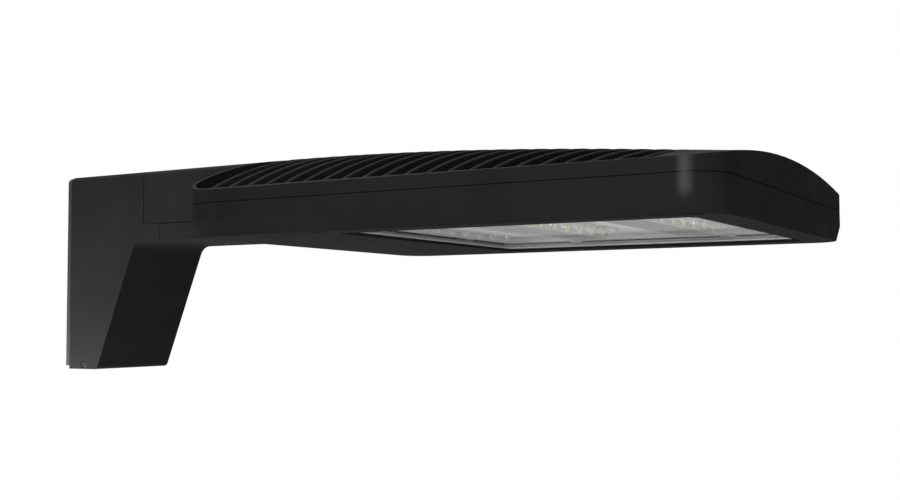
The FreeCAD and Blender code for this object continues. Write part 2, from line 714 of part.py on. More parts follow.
def seal_ring(side_play, z0, z1):
    outer = seal_loop(SEAL_INSET - side_play, z0, z1)
    return outer.cut(seal_loop(SEAL_INSET + SEAL_WIDTH + side_play, z0 - 1, z1 + 1))


def seal_groove():
    return seal_ring(SEAL_PLAY, PARTING_Z - 1, PARTING_Z + SEAL_DEEP)


def housing_neck():
    """The neck: a tunnel open below, closed by a thick wall where it bolts to the arm."""
    body = neck_block(NECK_REAR_X, HEAD_REAR_X, 0, PARTING_Z)
    body = body.cut(neck_block(NECK_REAR_X + NECK_END_WALL, HEAD_REAR_X + 1, HOUSING_WALL, PARTING_Z - 1))
    body = fused([body] + neck_bosses())
    starts = [Vector(SEAM_X, y, z) for y, z in NECK_BOLT_YZ]
    threads = [small_hole(start, X_AXIS, NECK_BOLT_R, NECK_BOLT_LENGTH) for start in starts]
    return body.cut(threads + [wire_window(SEAM_X, SEAM_X + 12), seal_groove()] + ceiling_screw_holes())


def heat_sink_housing():
    """The finned head, which meets the end of the neck face to face."""
    body = crowned_block().cut(fin_gaps())
    body = body.cut(housing_cavities())
    body = fused([body] + head_bosses())
    return body.cut(screw_holes_in_housing() + [seal_groove()] + ceiling_screw_holes())


def ceiling_screws():
    """Seat point of every small screw that is driven up into the housing."""
    ears = [(x, y) for x in rail_middles() for y in (-RAIL_EAR_Y, RAIL_EAR_Y)]
    return {
        "panel_screws": [Vector(x, y, PANEL_Z) for x, y in STANDOFF_XY],
        "driver_plate_screws": [Vector(x, y, DRIVER_TOP_Z) for x, y in DRIVER_BOSS_XY],
        "rail_screws": [Vector(x, y, CEILING_Z - RAIL_WALL) for x, y in ears],
        "surge_protector_screws": [Vector(x, y, GEAR_Z - GEAR_FOOT) for x, y in SURGE_HOLES],
        "terminal_block_screws": [Vector(x, y, GEAR_Z - GEAR_FOOT) for x, y in BLOCK_HOLES],
        "ground_screw": [Vector(GROUND_X, 0, GEAR_Z)],
    }


def ceiling_screw_holes():
    holes = []
    for seats in ceiling_screws().values():
        holes += [small_hole(seat, Z_AXIS, SMALL_SCREW_R, SMALL_SCREW_LENGTH + 0.5) for seat in seats]
    return holes


def small_screws(name):
    seats = ceiling_screws()[name]
    screws = [
        screw(seat, Z_AXIS, SMALL_SCREW_R, SMALL_HEAD_R, SMALL_HEAD, SMALL_SCREW_LENGTH) for seat in seats
    ]
    return Part.makeCompound(screws)


def housing_seal():
    return seal_ring(0.0, DOOR_TOP_Z + SEAL_CLEARANCE, PARTING_Z + SEAL_DEEP)


# ---- The LED modules ----
def rail_middles():
    """Middle X of each module: front, middle and rear."""
    slanted = [x + (RAIL_FACE_LEAN - RAIL_WIDTH) / 2 for x in RAIL_FACE_X]
    return slanted + [REAR_RAIL_X + RAIL_WIDTH / 2]


def rail_with_ears(x0, x1, body):
    half = RAIL_HALF + RAIL_EAR
    setback = RAIL_EAR_SETBACK
    ears = box(x0 + setback, x1 - setback, -half, half, CEILING_Z - RAIL_WALL, CEILING_Z)
    holes = []
    for y in (-RAIL_EAR_Y, RAIL_EAR_Y):
        holes.append(drill((x0 + x1) / 2, y, SMALL_SCREW_R + SCREW_PLAY, CEILING_Z - 5, CEILING_Z + 1))
    return fused([body, ears]).cut(holes)


def slanted_rail(face_x):
    """A hollow extrusion: flat underside, leaning LED face and a foot on the ceiling."""
    low = PARTING_Z - RAIL_DROP
    shoulder = PARTING_Z - RAIL_SHOULDER_DROP
    back = face_x - RAIL_WIDTH
    brow = face_x + RAIL_FACE_LEAN
    outer = ((back, low), (face_x, low), (brow, shoulder), (brow, CEILING_Z), (back, CEILING_Z))
    w = RAIL_WALL
    roof = CEILING_Z - w
    rear, floor = back + w, low + w
    inner = ((rear, floor), (face_x - w, floor), (brow - w, shoulder), (brow - w, roof), (rear, roof))
    body = prism_along_y(outer, RAIL_HALF).cut(prism_along_y(inner, RAIL_HALF + 1))
    return rail_with_ears(back, brow, body)


def rear_rail():
    """A flat bar that carries its LEDs on the underside."""
    front = REAR_RAIL_X + RAIL_WIDTH
    half = RAIL_HALF
    w = RAIL_WALL
    low = PARTING_Z - REAR_RAIL_DROP
    body = box(REAR_RAIL_X, front, -half, half, low, CEILING_Z)
    core = box(REAR_RAIL_X + w, front - w, -half - 1, half + 1, low + w, CEILING_Z - w)
    return rail_with_ears(REAR_RAIL_X, front, body.cut(core))


def led_places():
    first = -LED_PITCH * (LED_COUNT - 1) / 2
    return [first + i * LED_PITCH for i in range(LED_COUNT)]


def face_frame(face_x):
    """Foot point, outward normal and upward direction of a slanted rail's LED face."""
    rise = RAIL_DROP - RAIL_SHOULDER_DROP
    size = math.hypot(RAIL_FACE_LEAN, rise)
    up = Vector(RAIL_FACE_LEAN / size, 0, rise / size)
    normal = Vector(rise / size, 0, -RAIL_FACE_LEAN / size)
    return Vector(face_x, 0, PARTING_Z - RAIL_DROP), normal, up, size


def face_bar(face_x, low, high, start, thick, half_length, y=0.0):
    """A bar lying on the LED face, between two heights along it, start above its surface."""
    foot, normal, up, _ = face_frame(face_x)
    base = foot + Vector(0, y - half_length, 0)
    corners = [
        base + up * low + normal * start,
        base + up * high + normal * start,
        base + up * high + normal * (start + thick),
        base + up * low + normal * (start + thick),
    ]
    return prism(corners, Y_AXIS * (2 * half_length))


def slanted_board(face_x):
    size = face_frame(face_x)[3]
    return face_bar(face_x, FIT, size, 0.0, BOARD, BOARD_HALF)


def slanted_leds(face_x):
    middle = face_frame(face_x)[3] / 2
    half = LED_SIZE / 2
    return Part.makeCompound(
        [face_bar(face_x, middle - half, middle + half, BOARD, LED_THICK, half, y) for y in led_places()]
    )


def ring_points(x, y, z, radius, sides=6):
    angles = [2 * math.pi * (i + 0.5) / sides for i in range(sides)]
    return [Vector(x + radius * math.cos(a), y + radius * math.sin(a), z) for a in angles]


def lens_bubble(x, y, top, radius):
    """A clear moulded bubble with six flat facets, drawn in towards its lower end."""
    levels = ((0.0, 1.0), (0.55, 0.86), (1.0, 0.42))
    rings = [ring_points(x, y, top - drop * radius, radius * share) for drop, share in levels]
    loops = [rings[0], rings[-1]]
    for upper, lower in zip(rings, rings[1:]):
        for i in range(len(upper)):
            j = (i + 1) % len(upper)
            loops.append([upper[i], upper[j], lower[j], lower[i]])
    faces = [Part.Face(Part.makePolygon(loop + [loop[0]])) for loop in loops]
    bubble = Part.Solid(Part.Shell(faces))
    if bubble.Volume < 0:
        bubble.reverse()
    return bubble


def slanted_lenses(face_x):
    """A strip of bubbles on the brow of the rail, throwing the light forwards and down."""
    brow = face_x + RAIL_FACE_LEAN
    top = PANEL_Z - FIT
    low = top - LENS_BASE
    start = brow + BOARD + LED_THICK + LENS_GAP
    middle = start + LENS_R + LENS_RIM
    strip = box(start, middle + LENS_R + LENS_RIM, -BOARD_HALF, BOARD_HALF, low, top)
    return fused([strip] + [lens_bubble(middle, y, low, LENS_R) for y in led_places()])


def rear_board():
    low = PARTING_Z - REAR_RAIL_DROP - BOARD
    rear, front = REAR_RAIL_X + BOARD_EDGE, REAR_RAIL_X + RAIL_WIDTH - BOARD_EDGE
    return box(rear, front, -BOARD_HALF, BOARD_HALF, low, low + BOARD)


def rear_leds():
    top = PARTING_Z - REAR_RAIL_DROP - BOARD
    half = LED_SIZE / 2
    rear, front = REAR_LED_X - half, REAR_LED_X + half
    low = top - LED_THICK
    return Part.makeCompound([box(rear, front, y - half, y + half, low, top) for y in led_places()])


def rear_lenses():
    top = PARTING_Z - REAR_RAIL_DROP - BOARD - LED_THICK
    low = top - REAR_LENS_BASE
    reach = LENS_R + LENS_RIM
    strip = box(REAR_LED_X - reach, REAR_LED_X + reach, -BOARD_HALF, BOARD_HALF, low, top)
    return fused([strip] + [lens_bubble(REAR_LED_X, y, low, REAR_LENS_R) for y in led_places()])


def reflector_panel():
    """A light tray behind the glass, slotted for the LED modules."""
    low, high = PANEL_Z - PANEL_RIM, PANEL_Z + PANEL
    tray = box(PANEL_REAR_X, PANEL_FRONT_X, -PANEL_HALF, PANEL_HALF, low, high)
    half = PANEL_HALF - PANEL
    hollow = box(PANEL_REAR_X + PANEL, PANEL_FRONT_X - PANEL, -half, half, low - 1, PANEL_Z)
    gap = PANEL_SLOT_GAP
    spans = [(x - RAIL_WIDTH - gap, x + RAIL_FACE_LEAN + PANEL_SLOT_FRONT) for x in RAIL_FACE_X]
    spans.append((REAR_RAIL_X - gap, REAR_RAIL_X + RAIL_WIDTH + gap))
    slot_half = RAIL_HALF + gap
    slots = [box(x0, x1, -slot_half, slot_half, low, high + 1) for x0, x1 in spans]
    holes = [drill(x, y, SMALL_SCREW_R + SCREW_PLAY, PANEL_Z - 1, high + 1) for x, y in STANDOFF_XY]
    return tray.cut([hollow] + slots + holes)


# ---- The electrical gear ----
def driver_plate():
    top = PARTING_Z + DRIVER_PLATE_RISE
    half_x, half_y = DRIVER_PLATE_HALF
    body = box(DRIVER_X - half_x, DRIVER_X + half_x, -half_y, half_y, DRIVER_TOP_Z, top)
    holes = [drill(x, y, SMALL_SCREW_R + SCREW_PLAY, DRIVER_TOP_Z - 1, top + 1) for x, y in DRIVER_BOSS_XY]
    holes += both_sides(drill(DRIVER_X, DRIVER_EAR_Y, SMALL_SCREW_R, DRIVER_TOP_Z - 1, top + 1))
    return body.cut(holes)


def led_driver():
    """A potted supply in a drawn case, with an ear at each end."""
    top = DRIVER_TOP_Z
    half_x, half_y = DRIVER_WIDTH / 2, DRIVER_LENGTH / 2
    case = box(DRIVER_X - half_x, DRIVER_X + half_x, -half_y, half_y, top - DRIVER_HIGH, top)
    long_edges = [e for e in case.Edges if abs(e.Vertexes[0].Point.y - e.Vertexes[1].Point.y) > 1]
    case = case.makeFillet(DRIVER_EDGE_R, [e for e in long_edges if e.Vertexes[0].Point.z < top - 1])
    ear_x, ear_y = DRIVER_EAR_WIDE / 2, half_y + DRIVER_EAR_LONG
    ears = box(DRIVER_X - ear_x, DRIVER_X + ear_x, -ear_y, ear_y, top - DRIVER_EAR, top)
    holes = both_sides(drill(DRIVER_X, DRIVER_EAR_Y, SMALL_SCREW_R + FIT, top - DRIVER_EAR - 1, top + 1))
    return fused([case, ears]).cut(holes)


def driver_screws():
    seat = Vector(DRIVER_X, DRIVER_EAR_Y, DRIVER_TOP_Z - DRIVER_EAR)
    length = DRIVER_EAR + DRIVER_PLATE + 2.0
    one = screw(seat, Z_AXIS, SMALL_SCREW_R, SMALL_HEAD_R, SMALL_HEAD, length)
    return Part.makeCompound(both_sides(one))


def gear_foot(x, half_width):
    """The thin plate by which a block of gear is screwed up into the neck."""
    half_x, half_y = GEAR_FOOT_WIDE / 2, half_width + GEAR_FOOT_LONG
    return box(x - half_x, x + half_x, -half_y, half_y, GEAR_Z - GEAR_FOOT, GEAR_Z)


def gear_foot_holes(places):
    radius = SMALL_SCREW_R + SCREW_PLAY
    return [drill(x, y, radius, GEAR_Z - GEAR_FOOT - 1, GEAR_Z + 1) for x, y in places]


def surge_protector():
    half_x, half_y = SURGE_LONG / 2, SURGE_WIDE / 2
    pot = box(SURGE_X - half_x, SURGE_X + half_x, -half_y, half_y, GEAR_Z - SURGE_HIGH, GEAR_Z)
    upright = [e for e in pot.Edges if abs(e.Vertexes[0].Point.z - e.Vertexes[1].Point.z) > 1]
    pot = pot.makeFillet(SURGE_CORNER_R, upright)
    return fused([pot, gear_foot(SURGE_X, half_y)]).cut(gear_foot_holes(SURGE_HOLES))


def pole_middles():
    """Middle Y of each wire clamp of the terminal block."""
    return [-BLOCK_HALF + BLOCK_PITCH * (i + 0.5) for i in range(BLOCK_POLES)]


def terminal_block():
    """A strip of wire clamps between moulded walls, screwed up at both ends."""
    half_x = BLOCK_LONG / 2
    body = box(BLOCK_X - half_x, BLOCK_X + half_x, -BLOCK_HALF, BLOCK_HALF, GEAR_Z - BLOCK_HIGH, GEAR_Z)
    low, high = GEAR_Z - WELL_DROP - WELL_HIGH, GEAR_Z - WELL_DROP
    wells = []
    for y in pole_middles():
        y0, y1 = y - WELL_WIDE / 2, y + WELL_WIDE / 2
        wells.append(box(BLOCK_X - half_x - 1, BLOCK_X - half_x + WELL_DEEP, y0, y1, low, high))
        wells.append(box(BLOCK_X + half_x - WELL_DEEP, BLOCK_X + half_x + 1, y0, y1, low, high))
        wells.append(drill(BLOCK_X, y, CLAMP_R + SCREW_PLAY, GEAR_Z - BLOCK_HIGH - 1, GEAR_Z - CLAMP_DROP))
    holes = gear_foot_holes(BLOCK_HOLES)
    return fused([body, gear_foot(BLOCK_X, BLOCK_HALF)]).cut(wells + holes)


def terminal_screws():
    low = GEAR_Z - BLOCK_HIGH + 2.5
    screws = []
    for y in pole_middles():
        body = bar(Vector(BLOCK_X, y, low), Z_AXIS, CLAMP_R, GEAR_Z - CLAMP_DROP - low, 6)
        half = CLAMP_SLOT / 2
        slot = box(BLOCK_X - CLAMP_R - 1, BLOCK_X + CLAMP_R + 1, y - half, y + half, low - 1, low + 1)
        screws.append(body.cut(slot))
    return Part.makeCompound(screws)


# ---- The door ----
def door_shell(inset, floor_z):
    """The door's tapered pan: plumb sides above the crease, drawn in below it."""
    def outline(z):
        t = max(0.0, (DOOR_CREASE_Z - z) / (DOOR_CREASE_Z - DOOR_BOTTOM_Z))
        end = DOOR_END_INSET * t + inset
        side = DOOR_SIDE_INSET * t + inset
        radius = HEAD_CORNER_R - inset - DOOR_END_INSET * t
        return rounded_outline(HEAD_REAR_X + end, HEAD_FRONT_X - end, HEAD_HALF - side, radius, z)

    taper = Part.makeLoft([outline(floor_z), outline(DOOR_CREASE_Z)], True, True)
    walls = Part.Face(outline(DOOR_CREASE_Z)).extrude(Z_AXIS * (DOOR_TOP_Z - DOOR_CREASE_Z))
    return taper.fuse(walls)


def tongue_outer():
    body = box(LEDGE_X + LUG_CLEARANCE, HEAD_REAR_X + 6, -ARM_HALF, ARM_HALF, NECK_Z, DOOR_TOP_Z)
    rear = LEDGE_X + LUG_CLEARANCE
    low = edges_along_y_near(body, rear, NECK_Z)
    body = body.makeFillet(KNUCKLE_R - 0.2, low)
    high = edges_along_y_near(body, rear, DOOR_TOP_Z)
    return body.makeChamfer(1.4, high)


def window(z0, z1, grow=0.0):
    rear, front = WINDOW_REAR_X - grow, WINDOW_FRONT_X + grow
    return rounded_plate(rear, front, WINDOW_HALF + grow, WINDOW_CORNER_R + grow, z0, z1)


def clip_places():
    """Middle of each glass clip's screw, with the direction from it towards the glass."""
    reach = GLASS_LAP + GASKET_EDGE + CLIP_SCREW_OUT
    side = WINDOW_HALF + reach
    front, rear = WINDOW_FRONT_X + reach, WINDOW_REAR_X - reach
    middle = (WINDOW_FRONT_X + WINDOW_REAR_X) / 2
    places = []
    for x in (middle - CLIP_SPACING_X / 2, middle + CLIP_SPACING_X / 2):
        places += [(x, -side, 0, 1), (x, side, 0, -1)]
    for y in (-CLIP_SPACING_Y / 2, CLIP_SPACING_Y / 2):
        places += [(front, y, -1, 0), (rear, y, 1, 0)]
    return places


def door_frame():
    outer = fused([door_shell(0, DOOR_BOTTOM_Z), tongue_outer()])
    flange_z = DOOR_TOP_Z - DOOR_FLANGE_THICK
    half = ARM_HALF - DOOR_WALL
    flange_half = ARM_HALF - DOOR_FLANGE
    rear = HINGE_X + KNUCKLE_R + TONGUE_REAR_WALL
    pan = door_shell(DOOR_WALL, DOOR_FLOOR_Z).common(head_block(0, DOOR_BOTTOM_Z, flange_z))
    mouth = head_block(DOOR_FLANGE, flange_z - 1, DOOR_TOP_Z + 1)
    trough = box(rear, HEAD_REAR_X + 8, -half, half, NECK_Z + DOOR_WALL - 0.5, flange_z)
    trough_mouth = box(rear + 1.5, HEAD_REAR_X + 9, -flange_half, flange_half, flange_z - 1, DOOR_TOP_Z + 1)
    body = outer.cut([pan, mouth, trough, trough_mouth, window(DOOR_BOTTOM_Z - 1, DOOR_FLOOR_Z + 1)])

    posts = []
    for x, y in DOOR_SCREW_XY:
        posts += both_sides(boss(x, y, BOSS_R, DOOR_BOTTOM_Z + 1, flange_z + 1))
    posts = [post.common(door_shell(1.0, DOOR_BOTTOM_Z)) for post in posts]
    posts += [boss(x, y, CLIP_POST_R, DOOR_FLOOR_Z - 0.5, GLASS_TOP_Z) for x, y, _, _ in clip_places()]
    body = fused([body] + posts)

    cuts = []
    for x, y in DOOR_SCREW_XY:
        cuts += both_sides(drill(x, y, DOOR_SCREW_R + 0.4, DOOR_BOTTOM_Z - 1, DOOR_TOP_Z + 1))
        sink = bar(Vector(x, y, DOOR_BOTTOM_Z - 1), Z_AXIS, DOOR_SCREW_HEAD_R + 0.5, DOOR_SCREW_SINK + 1, 12)
        cuts += both_sides(sink)
    top = GLASS_TOP_Z + 1
    cuts += [drill(x, y, CLIP_SCREW_R, GLASS_TOP_Z - CLIP_SCREW_LENGTH, top) for x, y, _, _ in clip_places()]
    for y in (-LUG_CENTRE_Y, LUG_CENTRE_Y):
        low, high = y - LUG_WIDTH / 2 - LUG_CLEARANCE, y + LUG_WIDTH / 2 + LUG_CLEARANCE
        reach = KNUCKLE_R + LUG_CLEARANCE
        cuts.append(box(LEDGE_X, HINGE_X + reach, low, high, NECK_Z - 1, HINGE_Z + reach))
        length = PIN_LENGTH + 2 * PIN_END_PLAY
        start = Vector(HINGE_X, y - length / 2, HINGE_Z)
        cuts.append(rod(start, Y_AXIS, PIN_R + PIN_CLEARANCE, length))
    return body.cut(cuts)


def door_screws():
    """Captive screws: slotted heads in the door's underside, shanks up into the housing."""
    length = PARTING_Z + DOOR_SCREW_GRIP - DOOR_SCREW_SEAT_Z
    screws = []
    for x, y in DOOR_SCREW_XY:
        seat = Vector(x, y, DOOR_SCREW_SEAT_Z)
        body = screw(seat, Z_AXIS, DOOR_SCREW_R, DOOR_SCREW_HEAD_R, DOOR_SCREW_HEAD, length, 12)
        slot_z = DOOR_SCREW_SEAT_Z - DOOR_SCREW_HEAD
        half = DOOR_SCREW_SLOT / 2
        slot = box(x - 5, x + 5, y - half, y + half, slot_z - 1, slot_z + DOOR_SCREW_SLOT)
        screws += both_sides(body.cut(slot))
    return Part.makeCompound(screws)


def hinge_pins():
    pins = []
    for y in (-LUG_CENTRE_Y, LUG_CENTRE_Y):
        pins.append(rod(Vector(HINGE_X, y - PIN_LENGTH / 2, HINGE_Z), Y_AXIS, PIN_R, PIN_LENGTH))
    return Part.makeCompound(pins)


def glass_block(grow, z0, z1):
    return window(z0, z1, GLASS_LAP + grow)


def lens_glass():
    return glass_block(0, GLASS_BOTTOM_Z, GLASS_TOP_Z)


def glass_gasket():
    """A rubber frame of L section under and around the glass."""
    frame = glass_block(GASKET_EDGE, DOOR_FLOOR_Z, GLASS_TOP_Z)
    return frame.cut([lens_glass(), window(DOOR_FLOOR_Z - 1, GLASS_TOP_Z + 1, GASKET_SETBACK)])


def glass_clips():
    clips = []
    for x, y, dx, dy in clip_places():
        half_x = CLIP_WIDE / 2 if dy else CLIP_FOOT
        half_y = CLIP_WIDE / 2 if dx else CLIP_FOOT
        plate = box(x - half_x, x + half_x, y - half_y, y + half_y, GLASS_TOP_Z, GLASS_TOP_Z + CLIP_THICK)
        x0, x1 = sorted((x, x + dx * CLIP_REACH))
        y0, y1 = sorted((y, y + dy * CLIP_REACH))
        tip = box(
            x0 - (half_x if dy else 0), x1 + (half_x if dy else 0),
            y0 - (half_y if dx else 0), y1 + (half_y if dx else 0),
            GLASS_TOP_Z, GLASS_TOP_Z + CLIP_THICK,
        )
        hole = drill(x, y, CLIP_SCREW_R + FIT, GLASS_TOP_Z - 1, GLASS_TOP_Z + 3)
        clips.append(fused([plate, tip]).cut(hole))
    return Part.makeCompound(clips)


def glass_clip_screws():
    screws = []
    for x, y, _, _ in clip_places():
        seat = Vector(x, y, GLASS_TOP_Z + CLIP_THICK)
        screws.append(screw(seat, Z_AXIS * -1, CLIP_SCREW_R, SMALL_HEAD_R, SMALL_HEAD, CLIP_SCREW_LENGTH))
    return Part.makeCompound(screws)


SHEET = {
    "pole_gasket": pole_gasket,
    "arm_casting": arm_casting,
    "wire_grommet": wire_grommet,
    "arm_cover": arm_cover,
    "arm_cover_screws": arm_cover_screws,
    "neck_gasket": neck_gasket,
    "neck_washers": neck_washers,
    "neck_bolts": neck_bolts,
    "housing_neck": housing_neck,
    "heat_sink_housing": heat_sink_housing,
    "housing_seal": housing_seal,
    "led_rail_front": lambda: slanted_rail(RAIL_FACE_X[0]),
    "led_rail_middle": lambda: slanted_rail(RAIL_FACE_X[1]),
    "led_rail_rear": rear_rail,
    "led_board_front": lambda: slanted_board(RAIL_FACE_X[0]),
    "led_board_middle": lambda: slanted_board(RAIL_FACE_X[1]),
    "led_board_rear": rear_board,
    "led_chips_front": lambda: slanted_leds(RAIL_FACE_X[0]),
    "led_chips_middle": lambda: slanted_leds(RAIL_FACE_X[1]),
    "led_chips_rear": rear_leds,
    "lens_strip_front": lambda: slanted_lenses(RAIL_FACE_X[0]),
    "lens_strip_middle": lambda: slanted_lenses(RAIL_FACE_X[1]),
    "lens_strip_rear": rear_lenses,
    "reflector_panel": reflector_panel,
    "panel_screws": lambda: small_screws("panel_screws"),
    "rail_screws": lambda: small_screws("rail_screws"),
    "driver_plate": driver_plate,
    "driver_plate_screws": lambda: small_screws("driver_plate_screws"),
    "led_driver": led_driver,
    "driver_screws": driver_screws,
    "surge_protector": surge_protector,
    "surge_protector_screws": lambda: small_screws("surge_protector_screws"),
    "terminal_block": terminal_block,
    "terminal_block_screws": lambda: small_screws("terminal_block_screws"),
    "terminal_screws": terminal_screws,
    "ground_screw": lambda: small_screws("ground_screw"),
    "hinge_pins": hinge_pins,
    "door_frame": door_frame,
    "lens_glass": lens_glass,
    "glass_gasket": glass_gasket,
    "glass_clips": glass_clips,
    "glass_clip_screws": glass_clip_screws,
    "door_screws": door_screws,
}


def build():
    os.makedirs("parts", exist_ok=True)
    for node, make in SHEET.items():
        shape = make()
        shape.exportStep(f"parts/{node}.step")
        print(f"{node}: {len(shape.Solids)} solids, {shape.Volume / 1000:.2f} cm3, valid {shape.isValid()}")


build()
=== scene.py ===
import json
import math

import bmesh
import bpy
from mathutils import Matrix, Vector


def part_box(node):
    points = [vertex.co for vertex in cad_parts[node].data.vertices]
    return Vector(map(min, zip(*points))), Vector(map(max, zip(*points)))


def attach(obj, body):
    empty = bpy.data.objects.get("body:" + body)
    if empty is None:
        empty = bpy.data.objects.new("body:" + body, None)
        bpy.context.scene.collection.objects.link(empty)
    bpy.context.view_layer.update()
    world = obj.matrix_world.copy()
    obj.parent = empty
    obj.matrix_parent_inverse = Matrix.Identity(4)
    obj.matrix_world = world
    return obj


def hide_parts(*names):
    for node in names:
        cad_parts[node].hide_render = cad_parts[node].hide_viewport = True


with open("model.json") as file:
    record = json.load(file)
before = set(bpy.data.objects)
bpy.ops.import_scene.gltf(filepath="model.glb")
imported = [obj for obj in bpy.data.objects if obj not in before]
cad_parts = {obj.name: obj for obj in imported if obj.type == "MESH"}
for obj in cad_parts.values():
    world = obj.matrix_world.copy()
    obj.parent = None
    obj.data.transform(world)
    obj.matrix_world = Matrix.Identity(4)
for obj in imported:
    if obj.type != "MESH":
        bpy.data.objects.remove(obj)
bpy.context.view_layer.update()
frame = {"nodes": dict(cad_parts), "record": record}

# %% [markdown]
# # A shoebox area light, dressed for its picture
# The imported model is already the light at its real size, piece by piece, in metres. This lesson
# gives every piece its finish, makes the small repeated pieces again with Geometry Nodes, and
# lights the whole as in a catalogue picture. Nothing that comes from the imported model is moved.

MM = 0.001
cad_nodes = frame["nodes"]

# %% [markdown]
# ## The camera
# The picture is taken from the light's right front corner, a little below it, so that the glazed
# underside just shows. The three directions below were worked out from the lines of the
# casting that vanish towards one point, and they give the camera's turn as a matrix.

# %% Camera
camera_place = Vector((0.8727, -0.8581, -0.04505))
to_the_right = Vector((0.8697, 0.4935, -0.0036))
upwards = Vector((0.0314, -0.0481, 0.9983))
backwards = to_the_right.cross(upwards)
turn = Matrix((to_the_right, upwards, backwards)).transposed()
camera_data = bpy.data.cameras.new("camera")
camera_data.lens = 48.59
camera_data.sensor_width = 36.0
camera = bpy.data.objects.new("camera", camera_data)
camera.matrix_world = Matrix.Translation(camera_place) @ turn.to_4x4()
bpy.context.scene.collection.objects.link(camera)
bpy.context.scene.camera = camera
bpy.context.scene.view_settings.view_transform = "Standard"
print("camera looks along", [round(-v, 3) for v in backwards])

# %% [markdown]
# ## Background and floor
# The background is plain white. The world is white only where the camera, a mirror-like surface
# or the glass looks at it, and dim for all other light, so the black casting stays black. The
# floor lies well below the light, outside the picture, and takes the shadow in other views. It
# adds half its whiteness for the same direct looks, and its underside lets the camera through.

# %% World and floor
world = bpy.data.worlds.new("studio")
world.use_nodes = True
bpy.context.scene.world = world
air = world.node_tree
air.nodes.clear()
sky_out = air.nodes.new("ShaderNodeOutputWorld")
choose = air.nodes.new("ShaderNodeMixShader")
dim_sky = air.nodes.new("ShaderNodeBackground")
white_sky = air.nodes.new("ShaderNodeBackground")
dim_sky.inputs["Color"].default_value = (1.0, 0.99, 0.97, 1)
dim_sky.inputs["Strength"].default_value = 0.3
white_sky.inputs["Color"].default_value = (1, 1, 1, 1)
white_sky.inputs["Strength"].default_value = 1.0


def seen_directly(tree):
    """1 where the camera, a reflection or the glass looks at the surface, else 0."""
    rays = tree.nodes.new("ShaderNodeLightPath")
    total = rays.outputs["Is Camera Ray"]
    for kind in ("Is Glossy Ray", "Is Transmission Ray"):
        larger = tree.nodes.new("ShaderNodeMath")
        larger.operation = "MAXIMUM"
        tree.links.new(total, larger.inputs[0])
        tree.links.new(rays.outputs[kind], larger.inputs[1])
        total = larger.outputs[0]
    return total


air.links.new(seen_directly(air), choose.inputs[0])
air.links.new(dim_sky.outputs[0], choose.inputs[1])
air.links.new(white_sky.outputs[0], choose.inputs[2])
air.links.new(choose.outputs[0], sky_out.inputs["Surface"])

FLOOR_Z = -1.0
FLOOR_HALF = 3.0
FLOOR_GLOW = 0.5
floor_mesh = bpy.data.meshes.new("floor")
signs = ((-1, -1), (1, -1), (1, 1), (-1, 1))
corners = [(x * FLOOR_HALF, y * FLOOR_HALF, FLOOR_Z) for x, y in signs]
floor_mesh.from_pydata(corners, [], [(0, 1, 2, 3)])
floor = bpy.data.objects.new("floor", floor_mesh)
bpy.context.scene.collection.objects.link(floor)
paper = bpy.data.materials.new("studio_paper")
paper.use_nodes = True
paper_shader = paper.node_tree.nodes["Principled BSDF"]
paper_shader.inputs["Base Color"].default_value = (0.8, 0.8, 0.8, 1)
paper_shader.inputs["Roughness"].default_value = 0.9
paper_shader.inputs["Emission Color"].default_value = (1, 1, 1, 1)
glow = paper.node_tree.nodes.new("ShaderNodeMath")
glow.operation = "MULTIPLY"
glow.inputs[1].default_value = FLOOR_GLOW
paper.node_tree.links.new(seen_directly(paper.node_tree), glow.inputs[0])
paper.node_tree.links.new(glow.outputs[0], paper_shader.inputs["Emission Strength"])
facing_down = paper.node_tree.nodes.new("ShaderNodeNewGeometry").outputs["Backfacing"]
front_only = paper.node_tree.nodes.new("ShaderNodeMath")
front_only.operation = "SUBTRACT"
front_only.inputs[0].default_value = 1.0
paper.node_tree.links.new(facing_down, front_only.inputs[1])
paper.node_tree.links.new(front_only.outputs[0], paper_shader.inputs["Alpha"])
floor_mesh.materials.append(paper)
print("floor at", FLOOR_Z)

# %% [markdown]
# ## Lamps
# The coat is almost matte, so each face is as bright as the lamps that it faces. A broad one
# on the near side gives the long side its even grey, and a small one beside the arm's foot makes
# the cheek brighter downwards. One above draws the fin edges, a tall one lights the front corner,
# and one shines up into the glass. A very narrow beam puts the bright upright line on the
# rounded corner, and the last lamp is for views from behind. No lamp is itself seen.

# %% Lamps
def soft_lamp(name, place, aim, width, height, power, spread=180):
    """A rectangular lamp at place that looks at aim; sizes in metres, power in watts."""
    lamp = bpy.data.lights.new(name, "AREA")
    lamp.shape = "RECTANGLE"
    lamp.size = width
    lamp.size_y = height
    lamp.energy = power
    lamp.spread = math.radians(spread)
    holder = bpy.data.objects.new(name, lamp)
    holder.location = place
    holder.visible_camera = False
    holder.rotation_euler = (Vector(aim) - Vector(place)).to_track_quat("-Z", "Y").to_euler()
    bpy.context.scene.collection.objects.link(holder)
    print("lamp", name, power, "W")


soft_lamp("near_side", (0.1, -1.6, 0.25), (0.35, -0.17, 0.05), 1.0, 0.6, 8)
soft_lamp("foot", (-0.01, -0.14, -0.17), (0.02, -0.046, -0.09), 0.1, 0.06, 1.2)
soft_lamp("above", (0.3, -0.25, 1.25), (0.4, 0, 0.08), 0.6, 0.3, 32)
soft_lamp("corner", (0.95, -1.4, 0.2), (0.66, -0.17, 0.05), 0.12, 0.8, 4)
soft_lamp("into_the_glass", (0.95, -0.75, -0.42), (0.52, 0.1, 0.03), 0.4, 0.25, 3.4)
soft_lamp("corner_line", (0.642, -0.29, 0.041), (0.642, -0.17, 0.041), 0.003, 0.024, 0.0019, spread=6)
soft_lamp("behind", (-0.9, 0.9, 1.3), (0.3, 0, 0.05), 1.0, 0.8, 26)

